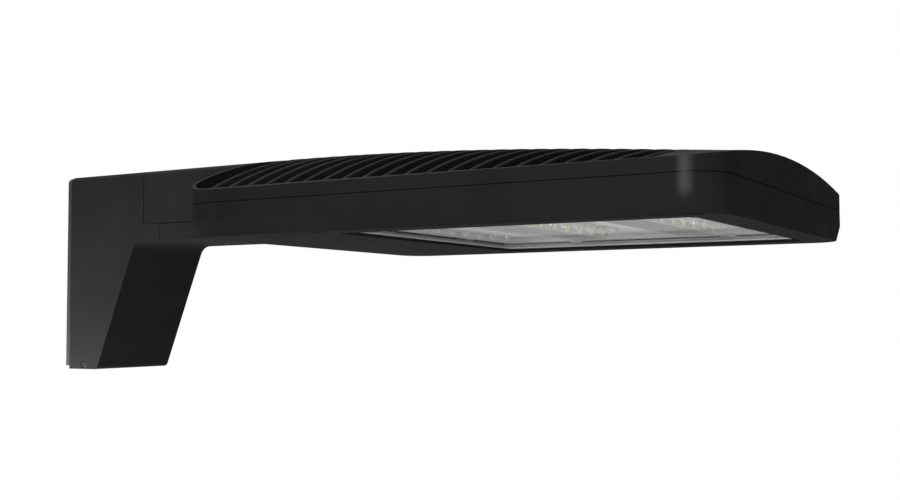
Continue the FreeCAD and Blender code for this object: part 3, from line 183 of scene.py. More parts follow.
# %% [markdown]
# ## Finishes
# Every finish is made of noise in the piece's own space, so it needs no picture file and stays
# in place when the door swings. One helper gives a paint or moulded surface: a colour with a
# slow drift, a roughness with patches, and a fine bump. It serves for metal too. Glass and lens
# acrylic get their own shaders, and the phosphor adds a clear coat to the helper's.

# %% The helper for painted, moulded and metal surfaces
NOISE_LOW, NOISE_HIGH = 0.3, 0.7
DRIFTS_PER_METRE = 14.0
PATCHES_PER_METRE = 45.0
BUMP_STRENGTH = 0.6


def noise(tree, where, scale, detail=3.0, stretch=None):
    """A noise texture on the piece's own coordinates, in features per metre."""
    texture = tree.nodes.new("ShaderNodeTexNoise")
    texture.inputs["Scale"].default_value = scale
    texture.inputs["Detail"].default_value = detail
    if stretch:
        squeeze = tree.nodes.new("ShaderNodeMapping")
        squeeze.inputs["Scale"].default_value = stretch
        tree.links.new(where, squeeze.inputs["Vector"])
        where = squeeze.outputs["Vector"]
    tree.links.new(where, texture.inputs["Vector"])
    return texture.outputs["Fac"]


def between(tree, factor, low, high):
    """Turns noise into a value that runs from low to high."""
    ramp = tree.nodes.new("ShaderNodeMapRange")
    ramp.inputs["From Min"].default_value = NOISE_LOW
    ramp.inputs["From Max"].default_value = NOISE_HIGH
    ramp.inputs["To Min"].default_value = low
    ramp.inputs["To Max"].default_value = high
    tree.links.new(factor, ramp.inputs["Value"])
    return ramp.outputs["Result"]


def surface(name, colour, drift, rough, grain, height, metal=0.0, shine=0.5, stretch=None):
    """colour +- drift share; rough is (low, high); grain per metre; height of the bump in mm."""
    material = bpy.data.materials.new(name)
    material.use_nodes = True
    tree = material.node_tree
    shader = tree.nodes["Principled BSDF"]
    shader.inputs["Metallic"].default_value = metal
    shader.inputs["Specular IOR Level"].default_value = shine
    where = tree.nodes.new("ShaderNodeTexCoord").outputs["Object"]
    tint = tree.nodes.new("ShaderNodeMix")
    tint.data_type = "RGBA"
    tint.inputs["A"].default_value = (*[c * (1 - drift) for c in colour], 1)
    tint.inputs["B"].default_value = (*[min(1.0, c * (1 + drift)) for c in colour], 1)
    slow = between(tree, noise(tree, where, DRIFTS_PER_METRE, 4.0), 0.0, 1.0)
    tree.links.new(slow, tint.inputs["Factor"])
    tree.links.new(tint.outputs["Result"], shader.inputs["Base Color"])
    patches = between(tree, noise(tree, where, PATCHES_PER_METRE, 4.0, stretch), *rough)
    tree.links.new(patches, shader.inputs["Roughness"])
    bump = tree.nodes.new("ShaderNodeBump")
    bump.inputs["Strength"].default_value = BUMP_STRENGTH
    bump.inputs["Distance"].default_value = height * MM
    tree.links.new(noise(tree, where, grain, 2.0, stretch), bump.inputs["Height"])
    tree.links.new(bump.outputs["Normal"], shader.inputs["Normal"])
    return material


# %% Paints, rubbers, plastics and metals of this light
finish = {
    "black_casting": surface(
        "powder_coat", (0.013, 0.013, 0.0134), 0.12, (0.7, 0.82), 900, 0.04, shine=0.004,
    ),
    "black_rubber": surface(
        "silicone_rubber", (0.016, 0.016, 0.016), 0.15, (0.62, 0.8), 500, 0.06, shine=0.25,
    ),
    "grey_rail": surface(
        "grey_rail_paint", (0.12, 0.12, 0.12), 0.06, (0.62, 0.74), 700, 0.03, shine=0.02,
    ),
    "light_panel": surface(
        "reflector_paint", (0.46, 0.46, 0.455), 0.03, (0.56, 0.68), 600, 0.03, shine=0.1,
    ),
    "board": surface("solder_mask", (0.34, 0.34, 0.33), 0.04, (0.3, 0.42), 400, 0.02),
    "stainless": surface(
        "stainless_steel", (0.62, 0.62, 0.61), 0.08, (0.2, 0.36), 700, 0.02, 1.0, stretch=(1, 8, 1),
    ),
    "zinc": surface("zinc_plate", (0.56, 0.57, 0.6), 0.12, (0.28, 0.46), 350, 0.03, 1.0),
    "driver_case": surface(
        "grey_case", (0.33, 0.34, 0.36), 0.08, (0.36, 0.5), 260, 0.03, 0.6, stretch=(6, 1, 1),
    ),
    "black_plastic": surface("black_moulding", (0.022, 0.022, 0.023), 0.1, (0.42, 0.56), 500, 0.04),
    "cream_plastic": surface("cream_moulding", (0.6, 0.56, 0.45), 0.06, (0.4, 0.52), 350, 0.04),
    "green_screw": surface("green_ground_screw", (0.03, 0.24, 0.07), 0.15, (0.3, 0.42), 500, 0.03, 0.5),
    "black_screw": surface("black_oxide", (0.03, 0.03, 0.032), 0.15, (0.3, 0.42), 500, 0.03, 0.7),
}
# Near-white gasket: the silicone's own grey lifted by painted light, standing in for the glass's reflection
# and for light that the shaded gasket doesn't get.
pale_silicone_painted_light = surface("pale_silicone_painted_light", (0.84, 0.84, 0.83), 0.05, (0.5, 0.65), 500, 0.03, shine=0.2)
print("plain finishes:", len(finish))

# %% [markdown]
# ## Glass, lens acrylic and phosphor
# The flat glass is thin and clear, so it mixes a little mirror, more at grazing angles, with a
# see-through part; real refraction in a flat sheet would only shift the view by a millimetre
# and cost noise. The flat plates of the lens strips are the same, in another tint. The lens
# bubbles do bend light, and that is what makes them sparkle, so they get a refracting shader.
# The phosphor is a grainy pale yellow under a clear coat.

# %% Glass, acrylic, phosphor
MIRROR_SHARE = 0.22


def clear_sheet(name, tint):
    material = bpy.data.materials.new(name)
    material.use_nodes = True
    tree = material.node_tree
    tree.nodes.clear()
    goal = tree.nodes.new("ShaderNodeOutputMaterial")
    mix = tree.nodes.new("ShaderNodeMixShader")
    through = tree.nodes.new("ShaderNodeBsdfTransparent")
    mirror = tree.nodes.new("ShaderNodeBsdfGlossy")
    edge = tree.nodes.new("ShaderNodeFresnel")
    through.inputs["Color"].default_value = (*tint, 1)
    edge.inputs["IOR"].default_value = 1.45
    quieter = tree.nodes.new("ShaderNodeMath")
    quieter.operation = "MULTIPLY"
    quieter.inputs[1].default_value = MIRROR_SHARE
    where = tree.nodes.new("ShaderNodeTexCoord").outputs["Object"]
    haze = between(tree, noise(tree, where, 30.0, 5.0), 0.02, 0.07)
    tree.links.new(haze, mirror.inputs["Roughness"])
    tree.links.new(edge.outputs[0], quieter.inputs[0])
    tree.links.new(quieter.outputs[0], mix.inputs[0])
    tree.links.new(through.outputs[0], mix.inputs[1])
    tree.links.new(mirror.outputs[0], mix.inputs[2])
    tree.links.new(mix.outputs[0], goal.inputs["Surface"])
    return material


def acrylic(name):
    material = bpy.data.materials.new(name)
    material.use_nodes = True
    tree = material.node_tree
    shader = tree.nodes["Principled BSDF"]
    shader.inputs["Base Color"].default_value = (0.93, 0.95, 0.95, 1)
    shader.inputs["IOR"].default_value = 1.49
    shader.inputs["Transmission Weight"].default_value = 0.9
    where = tree.nodes.new("ShaderNodeTexCoord").outputs["Object"]
    tree.links.new(between(tree, noise(tree, where, 300.0), 0.01, 0.04), shader.inputs["Roughness"])
    return material


def phosphor_gel(name):
    material = surface(name, (0.66, 0.64, 0.27), 0.12, (0.25, 0.4), 2500, 0.05)
    shader = material.node_tree.nodes["Principled BSDF"]
    shader.inputs["Coat Weight"].default_value = 0.6
    return material


finish["clear_glass"] = clear_sheet("clear_glass", (0.955, 0.965, 0.955))
finish["clear_plate"] = clear_sheet("lens_plate", (0.96, 0.97, 0.95))
finish["clear_lens"] = acrylic("lens_acrylic")
finish["phosphor"] = phosphor_gel("led_phosphor")
print("finishes:", sorted(finish))

# %% [markdown]
# ## Finishes on the imported pieces
# The record says which finish each piece has. The glass gasket alone departs from it and looks
# pale: its near-white grey is partly the silicone's own colour and partly painted light, standing
# in for the glass's reflection and for light that the shaded gasket doesn't get. The imported mesh
# stays as it is and only its material changes, so the shape is exactly the imported one.

# %% Give each imported piece its finish
slot_of = {row["node"]: row["material_slot"] for row in frame["record"]["subparts"]}
for node, thing in cad_nodes.items():
    thing.data.materials.clear()
    thing.data.materials.append(pale_silicone_painted_light if node == "glass_gasket" else finish[slot_of[node]])
print("dressed", len(cad_nodes), "packed pieces")

# %% [markdown]
# ## Helpers for new pieces
# A new piece takes the place of a packed one. It must sit at the origin with its place in its
# mesh and ride on the same body. The small pieces are found in the imported model itself: a node
# of screws is split into its loose parts, and each part's box tells where a new one goes.

# %% Helpers: the body of a node, merged copies, loose parts
MERGE_WITHIN = 2e-6
body_of = {n: body for body, names in frame["record"]["behaviour"]["bodies"].items() for n in names}


def joined_copy(node):
    """The node's triangles as one closed bmesh, in metres."""
    bm = bmesh.new()
    bm.from_mesh(cad_nodes[node].data)
    bmesh.ops.remove_doubles(bm, verts=bm.verts, dist=MERGE_WITHIN)
    return bm


def loose_parts(node):
    """The box of each separate part of a node, as (low corner, high corner)."""
    bm = joined_copy(node)
    seen, boxes = set(), []
    for first in bm.verts:
        if first in seen:
            continue
        group, todo = [], [first]
        seen.add(first)
        while todo:
            v = todo.pop()
            group.append(v.co.copy())
            for e in v.link_edges:
                other = e.other_vert(v)
                if other not in seen:
                    seen.add(other)
                    todo.append(other)
        low = Vector([min(p[i] for p in group) for i in range(3)])
        high = Vector([max(p[i] for p in group) for i in range(3)])
        boxes.append((low, high))
    bm.free()
    return boxes


def stand_for(mesh, name, node):
    """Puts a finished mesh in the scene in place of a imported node."""
    thing = bpy.data.objects.new(name, mesh)
    bpy.context.scene.collection.objects.link(thing)
    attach(thing, body_of[node])
    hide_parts(node)
    print(name, "replaces", node, "with", len(mesh.polygons), "faces")


# %% [markdown]
# ## A small language for Geometry Nodes
# A node tree is easier to read when it is written like a recipe. This helper makes a tree with
# named sizes, adds nodes, and links them by the name of each input. The last step of every
# tree turns instances into real faces, because an exported model keeps neither instances nor
# the tree. A tree of one finish gets it there, and the others paint their parts as they go.

# %% Helper: a recipe for a node tree
class Recipe:
    def __init__(self, title, **sizes):
        self.tree = bpy.data.node_groups.new(title, "GeometryNodeTree")
        sockets = self.tree.interface
        sockets.new_socket("Geometry", in_out="OUTPUT", socket_type="NodeSocketGeometry")
        sockets.new_socket("Geometry", in_out="INPUT", socket_type="NodeSocketGeometry")
        for name, value in sizes.items():
            kind = "NodeSocketInt" if isinstance(value, int) else "NodeSocketFloat"
            sockets.new_socket(name, in_out="INPUT", socket_type=kind).default_value = value
        self.source = self.tree.nodes.new("NodeGroupInput")
        self.goal = self.tree.nodes.new("NodeGroupOutput")

    def size(self, name):
        return self.source.outputs[name]

    def put(self, node, key, value):
        socket = node.inputs[key]
        if isinstance(value, bpy.types.NodeSocket):
            self.tree.links.new(value, socket)
        else:
            socket.default_value = value

    def add(self, kind, modes=(), **inputs):
        node = self.tree.nodes.new("GeometryNode" + kind)
        for name, value in dict(modes).items():
            setattr(node, name, value)
        for name, value in inputs.items():
            self.put(node, name.replace("_", " "), value)
        return node

    def calc(self, operation, a, b=0.0):
        node = self.tree.nodes.new("ShaderNodeMath")
        node.operation = operation
        self.put(node, 0, a)
        self.put(node, 1, b)
        return node.outputs[0]

    def point(self, x=0.0, y=0.0, z=0.0):
        node = self.tree.nodes.new("ShaderNodeCombineXYZ")
        for key, value in zip("XYZ", (x, y, z)):
            self.put(node, key, value)
        return node.outputs[0]

    def apart(self, vector):
        node = self.tree.nodes.new("ShaderNodeSeparateXYZ")
        self.put(node, 0, vector)
        return node.outputs

    def join(self, *parts):
        node = self.add("JoinGeometry")
        for part in parts:
            self.tree.links.new(part, node.inputs[0])
        return node.outputs[0]

    def painted(self, geometry, material):
        return self.add("SetMaterial", Geometry=geometry, Material=material).outputs[0]

    def done(self, geometry, material=None):
        real = self.add("RealizeInstances", Geometry=geometry).outputs[0]
        if material:
            real = self.painted(real, material)
        self.tree.links.new(real, self.goal.inputs[0])
        return self.tree


def made_by(tree, seed_mesh, name, smooth_under=None, **sizes):
    """Runs a tree on a seed mesh and returns the result as a plain mesh."""
    carrier = bpy.data.objects.new(name + "_carrier", seed_mesh)
    bpy.context.scene.collection.objects.link(carrier)
    step = carrier.modifiers.new("recipe", "NODES")
    step.node_group = tree
    for item in tree.interface.items_tree:
        if item.item_type == "SOCKET" and item.in_out == "INPUT" and item.name in sizes:
            step[item.identifier] = sizes[item.name]
    ready = carrier.evaluated_get(bpy.context.evaluated_depsgraph_get())
    mesh = bpy.data.meshes.new_from_object(ready)
    mesh.name = name
    carrier.modifiers.clear()
    bpy.data.objects.remove(carrier)
    if smooth_under:
        mesh.shade_smooth()
        mesh.set_sharp_from_angle(angle=math.radians(smooth_under))
    return mesh


def points_mesh(name, places, axes=None):
    """A mesh of bare points, each with the direction its screw looks."""
    mesh = bpy.data.meshes.new(name)
    mesh.from_pydata([tuple(p) for p in places], [], [])
    if axes:
        arrows = mesh.attributes.new("axis", "FLOAT_VECTOR", "POINT")
        arrows.data.foreach_set("vector", [c for axis in axes for c in axis])
    return mesh


print("helpers ready")

# %% [markdown]
# ## Rounded castings
# A die casting has no sharp edge: each one is a small radius that catches a thin line of light,
# and on a black piece that line is what shows the form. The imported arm, neck and door are
# copied, their flat areas merged into single faces, and every sharp edge gets a narrow bevel.

# %% Soften the edges of the castings
FLAT_DEGREES = 0.4
SHARP_DEGREES = 30
ARM_EDGE = 0.5
HEAD_EDGE = 0.35


def softened(bm, name, width, slot):
    """Merges flat areas, then rounds every edge sharper than SHARP_DEGREES."""
    bmesh.ops.dissolve_limit(bm, angle_limit=math.radians(FLAT_DEGREES), verts=bm.verts, edges=bm.edges)
    mesh = bpy.data.meshes.new(name)
    bm.to_mesh(mesh)
    bm.free()
    for old in [a for a in mesh.attributes if a.name == "custom_normal"]:
        mesh.attributes.remove(old)
    mesh.materials.clear()
    mesh.materials.append(finish[slot])
    mesh.shade_smooth()
    mesh.set_sharp_from_angle(angle=math.radians(SHARP_DEGREES))
    carrier = bpy.data.objects.new(name + "_carrier", mesh)
    bpy.context.scene.collection.objects.link(carrier)
    rounding = carrier.modifiers.new("edge_radius", "BEVEL")
    rounding.width = width
    rounding.segments = 2
    rounding.limit_method = "ANGLE"
    rounding.angle_limit = math.radians(SHARP_DEGREES)
    rounding.use_clamp_overlap = False
    rounding.harden_normals = True
    ready = carrier.evaluated_get(bpy.context.evaluated_depsgraph_get())
    result = bpy.data.meshes.new_from_object(ready)
    carrier.modifiers.clear()
    bpy.data.objects.remove(carrier)
    return result


for node, radius in (("arm_casting", ARM_EDGE), ("housing_neck", HEAD_EDGE), ("door_frame", HEAD_EDGE)):
    mesh = softened(joined_copy(node), node + "_cast", radius * MM, slot_of[node])
    stand_for(mesh, node + "_cast", node)

# %% [markdown]
# ## The heat sink's fins
# The finned top follows one rule: every fin reaches up to the same crowned surface, and its
# two faces lean in for the mould to let go. So the fins are one tree. A grid is folded over
# into a blade: its short side runs root, tip radius, root, and its long side runs across the
# head. The height of each point comes from the arch of the crown at that place.

# %% The rule of the crown, in millimetres, as the casting has it
PARTING_Z = 42.0
HEAD_REAR_X = 250.0
HEAD_LENGTH = 414.0
HEAD_HALF = 171.5
RIM_RISE = 9.5
CROWN_RISES = (24.2, 43.6, 49.2)
FIN_COUNT = 21
FIN_PITCH = 16.7
FIRST_FIN_X = 279.7
FIN_RIM_WALL = 2.4
FLOOR_RISE = 8.5
DRIVER_FLOOR_RISE = 27.0
LAST_FIN_X = FIRST_FIN_X + (FIN_COUNT - 1) * FIN_PITCH
FINS_OVER_DRIVER = 5


def arch(recipe, y, side, crown):
    """Height at y of the arch that rises from side at the head's edge to crown."""
    rise = recipe.calc("SUBTRACT", crown, side)
    squares = recipe.calc("ADD", recipe.calc("MULTIPLY", rise, rise), HEAD_HALF**2)
    radius = recipe.calc("DIVIDE", squares, recipe.calc("MULTIPLY", rise, 2.0))
    radius_squared = recipe.calc("MULTIPLY", radius, radius)
    under = recipe.calc("SUBTRACT", radius_squared, recipe.calc("MULTIPLY", y, y))
    return recipe.calc("ADD", recipe.calc("SUBTRACT", crown, radius), recipe.calc("SQRT", under))


def crown_height(recipe, x):
    """The parabola of the head's centre line through its front, middle and rear heights."""
    front, middle, rear = CROWN_RISES
    t = recipe.calc("DIVIDE", recipe.calc("SUBTRACT", HEAD_REAR_X + HEAD_LENGTH, x), HEAD_LENGTH)
    first = 4 * middle - 3 * front - rear
    second = 2 * front - 4 * middle + 2 * rear
    bend = recipe.calc("MULTIPLY", recipe.calc("MULTIPLY", t, t), second)
    straight = recipe.calc("MULTIPLY", t, first)
    return recipe.calc("ADD", recipe.calc("ADD", bend, straight), PARTING_Z + front)


# %% The tree that grows all fins
FIN_COLUMNS = 11
COLUMN = 1 / (FIN_COLUMNS - 1)
INTO_THE_RIM = 0.8
fins = Recipe(
    "cast_fins", Fins=FIN_COUNT, First=FIRST_FIN_X, Pitch=FIN_PITCH, Root=1.65, Lean=0.015,
    Reach=HEAD_HALF - FIN_RIM_WALL + INTO_THE_RIM, Sunk=1.2, Stations=49,
    DriverFins=FINS_OVER_DRIVER,
)
sheet = fins.add(
    "MeshGrid", Size_X=1.0, Size_Y=1.0, Vertices_X=FIN_COLUMNS, Vertices_Y=fins.size("Stations"),
)
seat_line = fins.add("MeshLine", Count=fins.size("Fins"), Offset=(0.0, 0.0, 0.0))
rows = fins.add("InstanceOnPoints", Points=seat_line.outputs["Mesh"], Instance=sheet.outputs["Mesh"])
numbered = fins.add(
    "StoreNamedAttribute", {"domain": "INSTANCE", "data_type": "FLOAT"}, Geometry=rows.outputs[0],
    Name="fin", Value=fins.add("InputIndex").outputs[0],
)
blades = fins.add("RealizeInstances", Geometry=numbered.outputs[0]).outputs[0]
fin_number = fins.add("InputNamedAttribute", {"data_type": "FLOAT"}, Name="fin").outputs[0]
grid_place = fins.apart(fins.add("InputPosition").outputs[0])
fold = fins.calc("ADD", grid_place[0], 0.5)
y = fins.calc("MULTIPLY", fins.calc("MULTIPLY", grid_place[1], 2.0), fins.size("Reach"))
x = fins.calc("ADD", fins.calc("MULTIPLY", fin_number, fins.size("Pitch")), fins.size("First"))
crest = arch(fins, y, PARTING_Z + RIM_RISE, crown_height(fins, x))
over_driver = fins.calc("LESS_THAN", fin_number, fins.size("DriverFins"))
flat_floor = PARTING_Z + FLOOR_RISE
arched_floor = arch(fins, y, flat_floor, PARTING_Z + DRIVER_FLOOR_RISE)
lift = fins.calc("MULTIPLY", fins.calc("SUBTRACT", arched_floor, flat_floor), over_driver)
floor_height = fins.calc("ADD", lift, flat_floor)
root_height = fins.calc("SUBTRACT", floor_height, fins.size("Sunk"))
above = fins.calc("SUBTRACT", crest, flat_floor)
tip_half = fins.calc("SUBTRACT", fins.size("Root"), fins.calc("MULTIPLY", above, fins.size("Lean")))
bend = fins.calc("MULTIPLY", fins.calc("SUBTRACT", fold, COLUMN), math.pi / (1 - 2 * COLUMN))
is_root = fins.calc("GREATER_THAN", fins.calc("ABSOLUTE", grid_place[0]), 0.5 - COLUMN / 2)
tip_x = fins.calc("MULTIPLY", fins.calc("COSINE", bend), fins.calc("MULTIPLY", tip_half, -1.0))
tip_rise = fins.calc("MULTIPLY", fins.calc("SINE", bend), tip_half)
tip_z = fins.calc("ADD", fins.calc("SUBTRACT", crest, tip_half), tip_rise)
side_x = fins.calc("MULTIPLY", fins.calc("SIGN", grid_place[0]), fins.size("Root"))
to_side = fins.calc("MULTIPLY", is_root, fins.calc("SUBTRACT", side_x, tip_x))
across = fins.calc("ADD", tip_x, to_side)
to_root = fins.calc("MULTIPLY", is_root, fins.calc("SUBTRACT", root_height, tip_z))
height = fins.calc("ADD", tip_z, to_root)
in_mm = fins.point(fins.calc("ADD", x, across), y, height)
scaled = fins.tree.nodes.new("ShaderNodeVectorMath")
scaled.operation = "SCALE"
fins.put(scaled, 0, in_mm)
fins.put(scaled, "Scale", MM)
folded = fins.add("SetPosition", Geometry=blades, Position=scaled.outputs[0])
fin_tree = fins.done(folded.outputs[0], finish["black_casting"])
fin_mesh = made_by(fin_tree, points_mesh("no_points", []), "fins", smooth_under=40)
print("fins:", len(fin_mesh.polygons), "faces")

# %% [markdown]
# ## The housing round the fins
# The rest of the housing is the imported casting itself: rim, front cap, floor and inside.
# Its own square fins are cut away and the folded blades are set in their place, with their
# roots sunk into the floor and their ends into the rim, as one casting.

# %% Cut the square fins from a copy and join the new ones
CUT_WITHIN = 1e-7
FIELD_MARGIN = 3
WALL_MARGIN = 0.05
FLOOR_MARGIN = 0.2
CREST_MARGIN = 0.9
DRIVER_FLOOR_END = FIRST_FIN_X + FINS_OVER_DRIVER * FIN_PITCH - 3.2
UPRIGHT_NORMAL = 0.9
UPWARD_NORMAL = 0.3
bm = joined_copy("heat_sink_housing")
inner_y = (HEAD_HALF - FIN_RIM_WALL) * MM
for side in (-1, 1):
    everything = bm.verts[:] + bm.edges[:] + bm.faces[:]
    bmesh.ops.bisect_plane(
        bm, geom=everything, dist=CUT_WITHIN, plane_co=(0, side * inner_y, 0), plane_no=(0, 1, 0),
    )
bm.normal_update()


def belongs_to_a_fin(face):
    """True for a fin's side or crest, by where the face lies and where it looks."""
    c, n = face.calc_center_median() / MM, face.normal
    in_length = FIRST_FIN_X - FIELD_MARGIN < c.x < LAST_FIN_X + FIELD_MARGIN
    in_field = in_length and abs(c.y) < HEAD_HALF - FIN_RIM_WALL - WALL_MARGIN
    if not in_field or c.z < flat_floor + FLOOR_MARGIN:
        return False
    if abs(n.x) > UPRIGHT_NORMAL:
        return True
    arch_drop = (c.y / HEAD_HALF) ** 2 * (DRIVER_FLOOR_RISE - FLOOR_RISE)
    driver_floor_top = PARTING_Z + DRIVER_FLOOR_RISE - arch_drop
    floor_here = driver_floor_top if c.x < DRIVER_FLOOR_END else flat_floor
    return n.z > UPWARD_NORMAL and c.z > floor_here + CREST_MARGIN


square_fins = [f for f in bm.faces if belongs_to_a_fin(f)]
print("fin faces cut away:", len(square_fins), "of", len(bm.faces))
bmesh.ops.delete(bm, geom=square_fins, context="FACES")
base_mesh = softened(bm, "housing_base", HEAD_EDGE * MM, "black_casting")
both = bmesh.new()
both.from_mesh(base_mesh)
both.from_mesh(fin_mesh)
housing_mesh = bpy.data.meshes.new("heat_sink_casting")
both.to_mesh(housing_mesh)
both.free()
housing_mesh.materials.append(finish["black_casting"])
stand_for(housing_mesh, "heat_sink_casting", "heat_sink_housing")

# %% [markdown]
# ## Screws
# All screws come from one tree. A disc is drawn up into a head, its top edge drawn in, and a
# six-sided socket pushed down into it. A ring of faces becomes a socket when each of its
# corners is moved out to the line of a hexagon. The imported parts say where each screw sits.

# %% The screw tree
LOWER_SHARE = 0.6
UPPER_SHARE = 0.4
TOP_SHRINK = 0.8
HEX_REACH = 0.9
SOCKET_DEPTH = 0.55
screws = Recipe("socket_screw", Head=3.0, HeadHigh=2.0, Shank=1.5, Length=5.0, Socket=0.5, Sides=24)
disc = screws.add(
    "MeshCircle", {"fill_type": "NGON"}, Vertices=screws.size("Sides"), Radius=screws.size("Head"),
)
raised = screws.add(
    "ExtrudeMesh", {"mode": "FACES"}, Mesh=disc.outputs[0],
    Offset=(0.0, 0.0, 1.0), Offset_Scale=screws.calc("MULTIPLY", screws.size("HeadHigh"), LOWER_SHARE),
)
crown = screws.add(
    "ExtrudeMesh", {"mode": "FACES"}, Mesh=raised.outputs[0], Selection=raised.outputs["Top"],
    Offset=(0.0, 0.0, 1.0), Offset_Scale=screws.calc("MULTIPLY", screws.size("HeadHigh"), UPPER_SHARE),
)
drawn_in = screws.add(
    "ScaleElements", {"domain": "FACE"}, Geometry=crown.outputs[0],
    Selection=crown.outputs["Top"], Scale=TOP_SHRINK,
)
ring = screws.add(
    "ExtrudeMesh", {"mode": "FACES"}, Mesh=drawn_in.outputs[0], Selection=crown.outputs["Top"],
    Offset=(0.0, 0.0, 1.0), Offset_Scale=0.0,
)
ring_in = screws.add(
    "ScaleElements", {"domain": "FACE"}, Geometry=ring.outputs[0], Selection=ring.outputs["Top"],
    Scale=screws.size("Socket"),
)
here = screws.apart(screws.add("InputPosition").outputs[0])
angle = screws.calc("ARCTAN2", here[1], here[0])
sixth = screws.calc("WRAP", angle, math.pi / 6)
sixth.node.inputs[2].default_value = -math.pi / 6
hexagon = screws.calc("DIVIDE", HEX_REACH, screws.calc("COSINE", sixth))
hex_point = screws.point(
    screws.calc("MULTIPLY", here[0], hexagon), screws.calc("MULTIPLY", here[1], hexagon), here[2]
)
hex_ring = screws.add(
    "SetPosition", Geometry=ring_in.outputs[0], Selection=ring.outputs["Top"], Position=hex_point
)
socket = screws.add(
    "ExtrudeMesh", {"mode": "FACES"}, Mesh=hex_ring.outputs[0], Selection=ring.outputs["Top"],
    Offset=(0.0, 0.0, 1.0), Offset_Scale=screws.calc("MULTIPLY", screws.size("HeadHigh"), -SOCKET_DEPTH),
)
shank = screws.add(
    "MeshCylinder", {"fill_type": "NGON"}, Vertices=16, Radius=screws.size("Shank"),
    Depth=screws.size("Length"),
)
shank_down = screws.add(
    "Transform", Geometry=shank.outputs[0],
    Translation=screws.point(0.0, 0.0, screws.calc("MULTIPLY", screws.size("Length"), -0.5)),
)
one_screw = screws.add(
    "Transform", Geometry=screws.join(socket.outputs[0], shank_down.outputs[0]), Scale=(MM, MM, MM),
)
arrow = screws.add("InputNamedAttribute", {"data_type": "FLOAT_VECTOR"}, Name="axis").outputs[0]
facing = screws.tree.nodes.new("FunctionNodeAlignRotationToVector")
facing.axis = "Z"
screws.put(facing, "Vector", arrow)
placed = screws.add(
    "InstanceOnPoints", Points=screws.size("Geometry"), Instance=one_screw.outputs[0],
    Rotation=facing.outputs[0],
)
screw_tree = screws.done(placed.outputs[0], finish["stainless"])
print("screw tree:", len(screw_tree.nodes), "nodes")


# %% Place every set of screws
def screw_set(node, axis, head, head_high, shank, sides=24, socket=0.5):
    """Replaces a node of screws; sizes are in mm.

    axis is the way the heads look: "-Z" is down, and "oY" is outwards along Y.
    """
    size = "XYZ".index(axis[-1])
    places, axes, length = [], [], 5.0
    for low, high in loose_parts(node):
        middle = (low + high) / 2
        sign = -1 if axis[0] == "-" else 1
        if axis[0] == "o":
            sign = 1 if middle[size] > 0 else -1
        outer = high[size] if sign > 0 else low[size]
        middle[size] = outer - sign * head_high * MM
        places.append(middle)
        axes.append([sign if i == size else 0 for i in range(3)])
        length = (high[size] - low[size]) / MM - head_high
    mesh = made_by(
        screw_tree, points_mesh(node, places, axes), node + "_turned", SHARP_DEGREES,
        Head=head, HeadHigh=head_high, Shank=shank, Length=length, Sides=sides, Socket=socket,
    )
    mesh.materials.clear()
    mesh.materials.append(finish[slot_of[node]])
    stand_for(mesh, node + "_turned", node)


screw_set("door_screws", "-Z", 3.7, 2.6, 2.0)
screw_set("arm_cover_screws", "oY", 3.1, 1.6, 1.6)
screw_set("neck_bolts", "-X", 5.0, 6.0, 3.0, sides=6, socket=0.6)
screw_set("glass_clip_screws", "+Z", 2.8, 1.8, 1.25)
for node in (
    "panel_screws", "rail_screws", "driver_plate_screws", "driver_screws",
    "surge_protector_screws", "terminal_block_screws", "ground_screw",
):
    screw_set(node, "-Z", 2.8, 1.8, 1.5)

# %% [markdown]
# ## LEDs
# Each LED is a square white package with a square pad of yellow phosphor under clear gel. One
# tree puts the package on every place. On the slanted rails they look forwards and a little
# down, on the rear rail straight down.

# %% The LED tree, and one mesh for each rail
LED_THICK = 0.9
PACKAGE_SHARE = 0.8
POOL_THICK = 0.3
leds = Recipe("led_package", Side=7.0, Thick=LED_THICK, Pool=6.5)
package_thick = leds.calc("MULTIPLY", leds.size("Thick"), PACKAGE_SHARE)
package = leds.add(
    "MeshCube", Size=leds.point(leds.size("Side"), leds.size("Side"), package_thick),
)
seated = leds.add(
    "Transform", Geometry=package.outputs[0],
    Translation=leds.point(0.0, 0.0, leds.calc("MULTIPLY", leds.size("Thick"), PACKAGE_SHARE / 2)),
)
pool = leds.add("MeshCube", Size=leds.point(leds.size("Pool"), leds.size("Pool"), POOL_THICK))
flat_pool = leds.add(
    "Transform", Geometry=pool.outputs[0],
    Translation=leds.point(0.0, 0.0, package_thick),
)
white_part = leds.painted(seated.outputs[0], finish["board"])
yellow_part = leds.painted(flat_pool.outputs[0], finish["phosphor"])
one_led = leds.add("Transform", Geometry=leds.join(yellow_part, white_part), Scale=(MM, MM, MM))
led_arrow = leds.add("InputNamedAttribute", {"data_type": "FLOAT_VECTOR"}, Name="axis").outputs[0]
led_facing = leds.tree.nodes.new("FunctionNodeAlignRotationToVector")
led_facing.axis = "Z"
leds.put(led_facing, "Vector", led_arrow)
led_rows = leds.add(
    "InstanceOnPoints", Points=leds.size("Geometry"), Instance=one_led.outputs[0],
    Rotation=led_facing.outputs[0],
)
led_tree = leds.done(led_rows.outputs[0])

FACE_LEAN = Vector((9.6, 0, -3.0)).normalized()
for node, looks in (
    ("led_chips_front", FACE_LEAN), ("led_chips_middle", FACE_LEAN), ("led_chips_rear", Vector((0, 0, -1))),
):
    backs = [(low + high) / 2 - looks * (LED_THICK / 2) * MM for low, high in loose_parts(node)]
    seats = points_mesh(node, backs, [tuple(looks)] * len(backs))
    mesh = made_by(led_tree, seats, node + "_packages", SHARP_DEGREES)
    stand_for(mesh, node + "_packages", node)

# %% [markdown]
# ## Lens bubbles
# The clear strips are moulded acrylic with a bubble over each LED. They are what sparkles in
# the picture. A tree sets a ball at every place along the strip, half of it below the plate,
# with a thin rim round it.

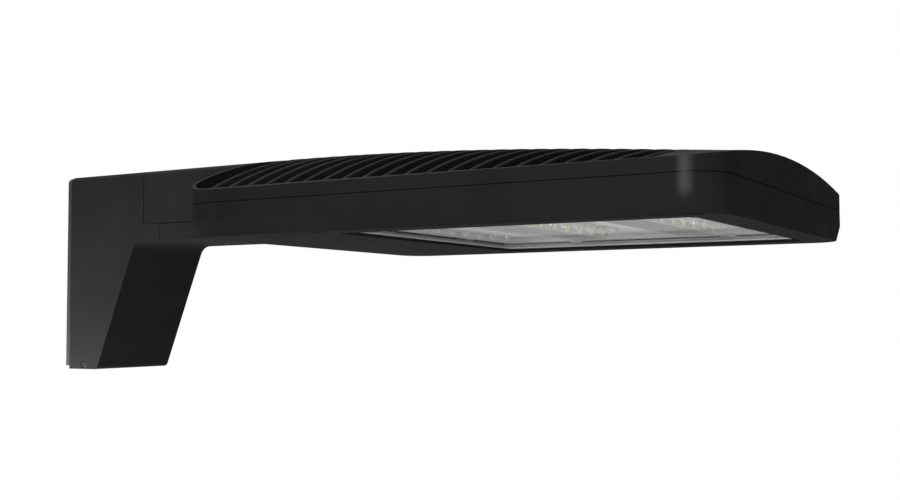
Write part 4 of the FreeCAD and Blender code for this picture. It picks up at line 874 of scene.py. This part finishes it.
# %% The lens tree, and one strip for each rail
LENS_RIM = 0.4
LENS_RIM_DEPTH = 0.8
lenses = Recipe("lens_bubbles", Bubble=5.0, Plate=1.2, Wide=11.0, Long=248.0, Count=10, Pitch=24.8)
half_pitch_back = lenses.calc("MULTIPLY", lenses.size("Pitch"), -0.5)
gaps = lenses.calc("SUBTRACT", lenses.size("Count"), 1.0)
first_y = lenses.calc("MULTIPLY", half_pitch_back, gaps)
row = lenses.add(
    "MeshLine", Count=lenses.size("Count"), Start_Location=lenses.point(0.0, first_y, 0.0),
    Offset=lenses.point(0.0, lenses.size("Pitch"), 0.0),
)
ball = lenses.add("MeshUVSphere", Segments=32, Rings=18, Radius=lenses.size("Bubble"))
rim = lenses.add(
    "MeshCylinder", {"fill_type": "NGON"}, Vertices=32, Depth=LENS_RIM_DEPTH,
    Radius=lenses.calc("ADD", lenses.size("Bubble"), LENS_RIM),
)
rim_low = lenses.add(
    "Transform", Geometry=rim.outputs[0], Translation=(0.0, 0.0, -LENS_RIM_DEPTH / 2),
)
smooth_ball = lenses.add("SetShadeSmooth", Geometry=ball.outputs[0])
bubble = lenses.painted(lenses.join(smooth_ball.outputs[0], rim_low.outputs[0]), finish["clear_lens"])
all_bubbles = lenses.add("InstanceOnPoints", Points=row.outputs["Mesh"], Instance=bubble)
plate = lenses.add(
    "MeshCube", Size=lenses.point(lenses.size("Wide"), lenses.size("Long"), lenses.size("Plate")),
)
plate_up = lenses.add(
    "Transform", Geometry=plate.outputs[0],
    Translation=lenses.point(0.0, 0.0, lenses.calc("MULTIPLY", lenses.size("Plate"), 0.5)),
)
clear_plate = lenses.painted(plate_up.outputs[0], finish["clear_plate"])
strip = lenses.join(all_bubbles.outputs[0], clear_plate)
strip_in_place = lenses.add("Transform", Geometry=strip, Scale=(MM, MM, MM))
on_seat = lenses.add(
    "InstanceOnPoints", Points=lenses.size("Geometry"), Instance=strip_in_place.outputs[0],
)
lens_tree = lenses.done(on_seat.outputs[0])

for node, plate_thick, radius in (
    ("lens_strip_front", 1.2, 4.9), ("lens_strip_middle", 1.2, 4.9), ("lens_strip_rear", 0.6, 3.9),
):
    low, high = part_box(node)
    seat = Vector(((low.x + high.x) / 2, 0.0, high.z - plate_thick * MM))
    mesh = made_by(
        lens_tree, points_mesh(node, [seat]), node + "_bubbles", None,
        Bubble=radius, Plate=plate_thick, Wide=(high.x - low.x) / MM, Long=(high.y - low.y) / MM,
    )
    stand_for(mesh, node + "_bubbles", node)

# %% [markdown]
# ## The size stays
# Dressing must not change the light's size. The last line brings the scene up to date.

# %% Final update
bpy.context.view_layer.update()
